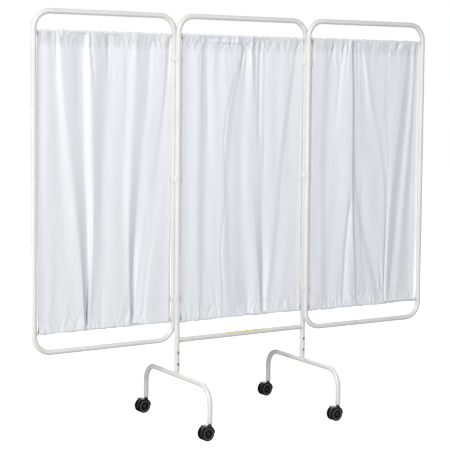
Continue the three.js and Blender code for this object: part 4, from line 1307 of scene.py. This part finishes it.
def smooth_line(knots, values, places):
    """Values of a smooth line through its knots."""
    knots = np.asarray(knots, float)
    values = np.asarray(values, float)
    places = np.clip(places, knots[0], knots[-1])
    i = np.clip(np.searchsorted(knots, places) - 1, 0, len(knots) - 2)
    slopes = np.gradient(values, knots)
    span = knots[i + 1] - knots[i]
    return hermite((places - knots[i]) / span, values[i], values[i + 1] - values[i], span * slopes[i],
                   span * slopes[i + 1])


def soft_max(first, second, ease):
    """The larger of two, with a rounded turn between them."""
    return (first + second + np.sqrt((first - second) ** 2 + ease ** 2)) / 2


def seams(settings):
    """Heights of the top and bottom seams, in metres."""
    return TOP_ROD - settings.top_seam, BOTTOM_ROD + settings.bottom_seam


def side_edges(width, heights, settings):
    """Places of a curtain's side edges, which stand off the cradles and lie close to the tubes elsewhere."""
    from_rod = np.minimum(abs(heights - TOP_ROD), abs(heights - BOTTOM_ROD))
    inset = np.interp(from_rod, CRADLE_REACHES, (settings.sleeve_gap, settings.side_gap))
    return inset / MM, (width - inset) / MM


def mesh_columns(folds, settings):
    """Strip between two fold lines, and share across it, of each mesh column."""
    strips = []
    shares = []
    places = [np.mean(fold[0]) for fold in folds]
    places[-1] = 2 * places[-2] - places[-3]
    for i in range(len(folds) - 1):
        count = max(LEAST_COLUMNS, round((places[i + 1] - places[i]) / (settings.pitch / MM)))
        strips += [i] * count
        shares += [k / count for k in range(count)]
    return np.array([*strips, len(folds) - 2]), np.array([*shares, 1.0])


def main_folds(folds, strips, shares, heights):
    """How far the main folds stand to the front at each row and column, calmer near the rods."""
    depths = np.array([smooth_line(DEPTH_HEIGHTS, fold[1], heights) for fold in folds])
    sharps = np.array([fold[2] for fold in folds])
    low = depths[strips].T
    drop = depths[strips + 1].T - low
    calm = np.interp(heights, CALM_HEIGHTS, CALM_SHARES)
    return hermite(shares, low, drop, sharps[strips] * drop, sharps[strips + 1] * drop) * calm[:, None]


def lesser_creases(creases, across, heights):
    """Depths of the lesser creases, which fade out at both ends."""
    total = np.zeros_like(across)
    for line, depth, width in creases:
        rises, places = zip(*reversed(line))
        from_low = heights - rises[0] + CREASE_OVERRUN
        from_high = rises[-1] + CREASE_OVERRUN - heights
        fade = np.clip(from_low / CREASE_FADE_LOW, 0, 1) * np.clip(from_high / CREASE_FADE_HIGH, 0, 1)
        aside = across - np.interp(heights, rises, places)[:, None]
        reach = np.where(aside < 0, width, CREASE_EASE * width)
        total += depth * fade[:, None] * np.exp(-(aside / reach) ** 2)
    return total


def strewn_wrinkles(random, places, across, heights):
    """Depths of short straight wrinkles strewn about the given places."""
    total = np.zeros_like(across)
    for middle, extent, count, lengths, widths, depths, lean in places:
        x = middle[0] + extent[0] * random.uniform(-1, 1, count)
        z = middle[1] + extent[1] * random.uniform(-1, 1, count)
        slant = random.normal(0, lean, count)
        long = random.uniform(*lengths, count)
        wide = random.uniform(*widths, count)
        depth = random.uniform(*depths, count) * np.where(random.random(count) < HOLLOW_SHARE, -1, 1)
        for i in range(count):
            rows = np.flatnonzero(abs(heights - z[i]) < WRINKLE_REACH * long[i])
            along = (heights[rows] - z[i])[:, None]
            aside = across[rows] - x[i] - slant[i] * along
            width = wide[i] * np.where(aside < 0, 1, CREASE_EASE if depth[i] < 0 else 1)
            total[rows] += depth[i] * np.exp(-(aside / width) ** 2 - (along / long[i]) ** 2)
    return total


def slow_waves(random, across, heights):
    """Broad soft unevenness of hanging cloth."""
    total = np.zeros_like(across)
    for _ in range(WAVE_COUNT):
        wave = random.uniform(*WAVE_LENGTHS)
        slant = random.uniform(-WAVE_SLANT, WAVE_SLANT)
        phase = random.uniform(0, 2 * math.pi)
        swell = np.sin(heights / random.uniform(*SWELL_LENGTHS) + random.uniform(0, SWELL_SHIFT))[:, None]
        total += WAVE_DEPTH * swell * np.sin(2 * math.pi * (across + slant * heights[:, None]) / wave + phase)
    return total


def curtain_rows(settings):
    """Rows of the cloth from the back flap of the top sleeve to that of the bottom one: (part, place)."""
    top, bottom = seams(settings)
    second = top - settings.second_row
    high, low = second - SEAM_MARGIN, bottom + SEAM_MARGIN
    shares = np.linspace(0, 1, settings.body_rows)
    eased = shares - ROW_EASE * np.sin(2 * math.pi * shares) / (2 * math.pi)
    stretches = (
        ("top_back", np.linspace(second - TOP_FLAP, TOP_ROD, FLAP_ROWS)),
        ("crown", np.linspace(0, math.pi, ROUND_ROWS)[1:-1]),
        ("top_front", np.linspace(TOP_ROD, top + SEAM_MARGIN, TOP_FRONT_ROWS)),
        ("top_front", top - NEAR_SEAM[:3]),
        ("body", top - NEAR_SEAM[3:]),
        ("body", second - NEAR_SEAM),
        ("body", high + (low - high) * eased),
        ("body", bottom - NEAR_SEAM[:2]),
        ("bottom_front", bottom - NEAR_SEAM[2:]),
        ("bottom_front", np.linspace(bottom - SEAM_MARGIN, BOTTOM_ROD, BOTTOM_FRONT_ROWS)),
        ("foot", np.linspace(math.pi, 2 * math.pi, ROUND_ROWS)[1:-1]),
        ("bottom_back", np.linspace(BOTTOM_ROD, bottom + BOTTOM_FLAP, FLAP_ROWS)),
    )
    return [(part, place) for part, places in stretches for place in places]


def layers_of(part, place, settings):
    """How much a row shows the layers of its sleeve, which darkens the cloth there as painted shade."""
    top, bottom = seams(settings)
    if part != "body":
        return TOP_LAYERS if part.startswith(("top", "crown")) else BOTTOM_LAYERS
    if place > top - settings.second_row:
        return SECOND_LAYERS
    return BOTTOM_LAYERS if place < bottom else 0.0


def sleeve_depth(part, place, front, settings):
    """How far back a flat row of a sleeve's front or back layer lies, clear of the rod."""
    top, bottom = seams(settings)
    rod, seam = (TOP_ROD, top) if part.startswith("top") else (BOTTOM_ROD, bottom)
    away = abs(place - rod)
    share = min(1.0, away / abs(seam - rod))
    gap = LAYER_GAP + (SLEEVE_CORE + SLEEVE_SLACK - LAYER_GAP) * (1 - 3 * share ** 2 + 2 * share ** 3)
    clear = CLEAR_FALL * (SLEEVE_CORE - away)
    if away < SLEEVE_CORE:
        clear = math.sqrt(SLEEVE_CORE ** 2 - away ** 2)
    way = 1 if part.endswith("back") else -1
    return way * soft_max(gap - way * front, clear, SLEEVE_EASE * (1 - share))


def curtain_grid(panel, width, settings):
    """Points of the cloth's middle in metres, row by row, in the panel's own place, and each row's layers."""
    folds, creases, wrinkles = CURTAIN_SHAPES[panel]
    random = np.random.default_rng(settings.seed + list(CURTAIN_SHAPES).index(panel))
    rows = curtain_rows(settings)
    rods = {"crown": TOP_ROD, "foot": BOTTOM_ROD}
    levels = np.array([rods.get(part, place) for part, place in rows])
    heights = levels / MM
    strips, shares = mesh_columns(folds, settings)
    places = np.array([smooth_line(KNOT_HEIGHTS, fold[0], heights) for fold in folds])
    places[0], places[-1] = side_edges(width, levels, settings)
    across = (places[strips] * (1 - shares)[:, None] + places[strips + 1] * shares[:, None]).T
    low, high = places[0][:, None], places[-1][:, None]
    edge = np.clip(np.minimum(across - low, high - across) / EDGE_FADE, 0, 1)
    small = lesser_creases(creases, across, heights) + strewn_wrinkles(random, wrinkles, across, heights)
    small += slow_waves(random, across, heights)
    front = (main_folds(folds, strips, shares, heights) + edge * small) * MM
    front += settings.edge_turn * (1 - edge) * np.where(across > (low + high) / 2, 1, -1)
    knots = np.linspace(0, width / MM, RUFFLE_KNOTS)
    ruffle = np.clip(smooth_line(knots, random.uniform(*RUFFLE_RANGE, RUFFLE_KNOTS), across[0]), 0, 1)
    depth, rise = np.zeros_like(across), np.zeros_like(across)
    for i, (part, place) in enumerate(rows):
        if part == "body":
            depth[i], rise[i] = -front[i], place
        elif part in rods:
            swing, climb = math.cos(place), math.sin(place)
            bulge = soft_max(SLEEVE_CORE + SLEEVE_SLACK - math.copysign(1, swing) * front[i], SLEEVE_CORE,
                             SLEEVE_EASE)
            reach = SLEEVE_CORE + settings.ruffle * ruffle * abs(climb)
            depth[i], rise[i] = bulge * swing, rods[part] + reach * climb
        else:
            depth[i], rise[i] = sleeve_depth(part, place, front[i], settings), place
    grid = np.stack([across * MM - FOLD_LEAN * front * edge, depth, rise], axis=-1)
    return grid, [layers_of(part, place, settings) for part, place in rows]


def curtain_mesh(name, grid, layers, place, flat_width):
    """A curtain's single layer with its map of the flat cut, and the cut's length."""
    rows, columns = grid.shape[:2]
    down = np.concatenate([[0], np.cumsum(np.linalg.norm(np.diff(grid, axis=0), axis=2).mean(1))])
    along = np.concatenate([[0], np.cumsum(np.linalg.norm(np.diff(grid, axis=1), axis=2).mean(0))])
    mesh = bpy.data.meshes.new(name)
    index = np.arange(rows * columns).reshape(rows, columns)
    faces = np.stack([index[:-1, :-1], index[:-1, 1:], index[1:, 1:], index[1:, :-1]], axis=-1).reshape(-1, 4)
    mesh.from_pydata(moved((grid.reshape(-1, 3), []), place)[0].tolist(), [], faces.tolist())
    mesh.polygons.foreach_set("use_smooth", np.ones(len(mesh.polygons), bool))
    cut = np.empty((rows, columns, 2))
    cut[:, :, 0] = along / along[-1] * flat_width
    cut[:, :, 1] = down[:, None]
    loops = np.zeros(len(mesh.loops), np.int32)
    mesh.loops.foreach_get("vertex_index", loops)
    mesh.uv_layers.new(name="cut").data.foreach_set("uv", cut.reshape(-1, 2)[loops].ravel())
    # Each row's layers, which the cloth uses for painted shade on the sleeves
    attribute = mesh.attributes.new("layers", "FLOAT", "POINT")
    attribute.data.foreach_set("value", np.repeat(layers, columns).astype(np.float32))
    mesh.materials.append(finish(curtain_cloth))
    return mesh, float(down[-1])


def curtain_piece(panel, place, width, settings):
    """One curtain as a closed sheet, the grid that its stitches follow, and its flat width and length."""
    grid, layers = curtain_grid(panel, width, settings)
    flat_width = width * settings.gather
    mesh, flat_length = curtain_mesh(f"{panel}_cloth", grid, layers, place, flat_width)
    piece = add_object(f"{panel}_cloth", mesh)
    solid = piece.modifiers.new("thickness", "SOLIDIFY")
    solid.thickness = settings.thickness
    solid.offset = 0
    piece.data = evaluated_mesh(piece)
    piece.modifiers.clear()
    seated(piece, PANEL_BODY[panel], "cloth", f"{panel}_curtain")
    return piece, grid, (flat_width, flat_length)


def stitch_rows(grid, settings):
    """Polylines of the stitch rows, just in front of the cloth."""
    top, bottom = seams(settings)
    parts = [part for part, _ in curtain_rows(settings)]
    fronts = [i for i, part in enumerate(parts) if part in ("body", "top_front", "bottom_front")]
    lines = []
    for height in (top, top - settings.second_row, bottom):
        row = min(fronts, key=lambda i: abs(grid[i, 0, 2] - height))
        line = grid[row].copy()
        line[:, 1] -= settings.thickness / 2 + THREAD_LIFT
        lines.append(line)
    return lines


class SCREEN_OT_curtains(Operator):
    """Make the three gathered curtains and their rows of stitches"""
    bl_idname = "screen.curtains"
    bl_label = "Curtains"

    def execute(self, context):
        settings = context.scene.screen_curtains
        for panel, (place, width) in PANELS.items():
            cloth, grid, flat = curtain_piece(panel, place, width, settings)
            stitches = self.add_stitches(panel, place, grid, settings)
        return {"FINISHED"}

    def add_stitches(self, panel, place, grid, settings):
        """The stitches of one curtain."""
        thread = finish(sewing_thread)
        points, edges = [], []
        for line in stitch_rows(grid, settings):
            first = len(points)
            points.extend(moved((line, []), place)[0])
            edges.extend((i, i + 1) for i in range(first, len(points) - 1))
        shape = grown(tree_named("Stitches", stitch_tree), points, edges, {
            "Pitch": settings.stitch, "Stitch Length": settings.stitch * STITCH_SHARE,
            "Thread Radius": THREAD_RADIUS, "Material": thread})
        return add_piece(f"{panel}_stitches", [(shape, thread)], PANEL_BODY[panel], "cloth")


# Strip on the cross bar

STRIP_ENDS = (-79 * MM, 116 * MM)
STRIP_EDGES = (math.radians(35), math.radians(105))
STRIP_COLUMNS = 40
STRIP_ROWS = 12
STRIP_LIFT = 0.25 * MM


class SCREEN_OT_strip(Operator):
    """Lay the plain foil strip on the cross bar"""
    bl_idname = "screen.strip"
    bl_label = "Foil strip"

    def execute(self, context):
        radius = TUBE_RADIUS + STRIP_LIFT
        centre = middle_of("centre_cross_bar")
        points = [(centre.x + x, centre.y - radius * math.cos(angle), centre.z + radius * math.sin(angle))
                  for x in np.linspace(*STRIP_ENDS, STRIP_COLUMNS + 1)
                  for angle in np.linspace(*STRIP_EDGES, STRIP_ROWS + 1)]
        step = STRIP_ROWS + 1
        faces = [(i * step + j, (i + 1) * step + j, (i + 1) * step + j + 1, i * step + j + 1)
                 for i in range(STRIP_COLUMNS) for j in range(STRIP_ROWS)]
        foil = finish(foil_strip)
        mesh = add_piece("cross_bar_foil_strip", [((points, faces), foil)], "root", "paint").data
        uv = mesh.uv_layers.new(name="strip")
        for loop in mesh.loops:
            i, j = divmod(loop.vertex_index, step)
            uv.data[loop.index].uv = (i / STRIP_COLUMNS, j / STRIP_ROWS)
        return {"FINISHED"}


# Carried-over nodes

class SCREEN_OT_joiners(Operator):
    """Give the hidden joiners of the wing rails their steel finish"""
    bl_idname = "screen.joiners"
    bl_label = "Rail joiners"

    def execute(self, context):
        for side in SIDES:
            for slot in frame["nodes"][f"{side}_wing_joiner"].material_slots:
                slot.material = finish(zinc_steel)
        return {"FINISHED"}


# Stage

CAMERA_PLACE = Vector((-3.0036627, -4.6594455, 1.3981898))
CAMERA_YAW = 0.5588
CAMERA_PITCH = -0.0684
CAMERA_ROLL = 0.0079
CAMERA_SENSOR = 36
CAMERA_LENS = 104.248
CAMERA_SHIFT = -0.1
FLOOR_REACH = 14
WHITE = (1, 1, 1, 1)

# Soft lights: place, the point that they face, size and tint
LIGHTS = {
    "key": ((-5.2, -3.6, 5.1), (0, 0, 1.2), (2.2, 2.2), (1.0, 0.995, 0.985)),
    "fill": ((0.35, -3.0, 1.8), (0, 0, 1.1), (1.6, 1.6), (0.93, 0.96, 1.0)),
    "side": ((-3.4, 0.35, 0.45), (0, 0.1, 0.1), (1.8, 0.7), (1.0, 0.995, 0.985)),
    "back": ((2.9, 5.0, 2.6), (0, 0, 1.0), (2.4, 2.0), (0.97, 0.985, 1.0)),
}


def add_camera():
    """The photograph's viewing angle, from the left and the height of a person's chest."""
    origin = Vector((FIRST_UPRIGHT.x + CENTRE_WIDTH / 2, FIRST_UPRIGHT.y, 0))
    level_share = math.cos(CAMERA_PITCH)
    ahead = Vector((math.sin(CAMERA_YAW) * level_share, math.cos(CAMERA_YAW) * level_share,
                    math.sin(CAMERA_PITCH)))
    right = Vector((math.cos(CAMERA_YAW), -math.sin(CAMERA_YAW), 0))
    level = Matrix((right, right.cross(ahead), -ahead)).transposed()
    data = bpy.data.cameras.new("camera")
    data.sensor_width = CAMERA_SENSOR
    data.lens = CAMERA_LENS
    data.shift_y = CAMERA_SHIFT
    camera = add_object("camera", data)
    turn = level @ Matrix.Rotation(CAMERA_ROLL, 3, "Z")
    camera.matrix_world = Matrix.Translation(origin + CAMERA_PLACE) @ turn.to_4x4()
    bpy.context.scene.camera = camera


def add_soft_light(name, power):
    """A large area light that faces a point."""
    place, target, size, tint = LIGHTS[name]
    light = bpy.data.lights.new(name, "AREA")
    light.shape = "RECTANGLE"
    light.size, light.size_y = size
    light.energy = power
    light.color = tint
    lamp = add_object(name, light)
    lamp.location = place
    lamp.rotation_mode = "QUATERNION"
    lamp.rotation_quaternion = (Vector(target) - Vector(place)).to_track_quat("-Z", "Y")


def add_world(stage):
    """Even white light all round, brighter to the eye than to the object."""
    world = bpy.data.worlds.new("studio")
    world.use_nodes = True
    tree = world.node_tree
    background = tree.nodes["Background"]
    feed(tree, background, {"Color": (0.97, 0.985, 1.0, 1), "Strength": stage.ambient})
    white = add_node(tree, "ShaderNodeBackground", {"Color": WHITE, "Strength": 1.0})
    seen = add_node(tree, "ShaderNodeLightPath").outputs["Is Camera Ray"]
    mix = add_node(tree, "ShaderNodeMixShader", {
        0: seen, 1: background.outputs["Background"], 2: white.outputs["Background"]})
    feed(tree, tree.nodes["World Output"], {"Surface": mix.outputs["Shader"]})
    bpy.context.scene.world = world


def add_floor(stage):
    """A plain pale floor that the camera sees burnt out to white."""
    mesh = bpy.data.meshes.new("floor")
    corners = [(x * FLOOR_REACH, y * FLOOR_REACH, 0) for x, y in ((-1, -1), (1, -1), (1, 1), (-1, 1))]
    mesh.from_pydata(corners, [], [(0, 1, 2, 3)])
    material, tree, shader = new_material("floor", {
        "Specular IOR Level": 0.0, "Base Color": (*stage.floor, 1), "Roughness": 0.9,
        "Emission Color": WHITE})
    seen = add_node(tree, "ShaderNodeLightPath").outputs["Is Camera Ray"]
    glow = math_node(tree, "MULTIPLY", seen, stage.glow)
    feed(tree, shader, {"Emission Strength": glow})
    mesh.materials.append(material)
    add_object("floor", mesh)


class SCREEN_OT_stage(Operator):
    """Make the floor, the soft studio light and the camera"""
    bl_idname = "screen.stage"
    bl_label = "Stage"

    def execute(self, context):
        stage = context.scene.screen_stage
        add_camera()
        add_world(stage)
        add_floor(stage)
        for name in LIGHTS:
            add_soft_light(name, getattr(stage, name))
        context.scene.view_settings.view_transform = "Standard"
        return {"FINISHED"}


# Add-on parts

OPERATORS = (SCREEN_OT_stage, SCREEN_OT_frames, SCREEN_OT_feet, SCREEN_OT_rods, SCREEN_OT_clips,
             SCREEN_OT_bolts, SCREEN_OT_castors, SCREEN_OT_curtains, SCREEN_OT_strip, SCREEN_OT_joiners)
SETTINGS = {
    "screen_tubes": ScreenTubeSettings,
    "screen_castors": ScreenCastorSettings,
    "screen_curtains": ScreenCurtainSettings,
    "screen_colours": ScreenColourSettings,
    "screen_stage": ScreenStageSettings,
}


class SCREEN_PT_panel(Panel):
    """Sizes, colours and pieces of the ward screen"""
    bl_idname = "SCREEN_PT_panel"
    bl_label = "Ward screen"
    bl_space_type = "VIEW_3D"
    bl_region_type = "UI"
    bl_category = "Ward screen"

    def draw(self, context):
        for name, group in SETTINGS.items():
            box = self.layout.box()
            for field in group.__annotations__:
                box.prop(getattr(context.scene, name), field)
        for operator in OPERATORS:
            self.layout.operator(operator.bl_idname)


def register():
    """Registers the settings, the operators and the panel."""
    for name, group in SETTINGS.items():
        bpy.utils.register_class(group)
        setattr(bpy.types.Scene, name, PointerProperty(type=group))
    for item in (*OPERATORS, SCREEN_PT_panel):
        bpy.utils.register_class(item)


def unregister():
    """Takes back what register added."""
    for item in (SCREEN_PT_panel, *reversed(OPERATORS)):
        bpy.utils.unregister_class(item)
    for name, group in reversed(SETTINGS.items()):
        delattr(bpy.types.Scene, name)
        bpy.utils.unregister_class(group)


def main():
    """Makes every piece in order."""
    register()
    for operator in OPERATORS:
        group, name = operator.bl_idname.split(".")
        getattr(getattr(bpy.ops, group), name)()


if __name__ == "__main__":
    main()
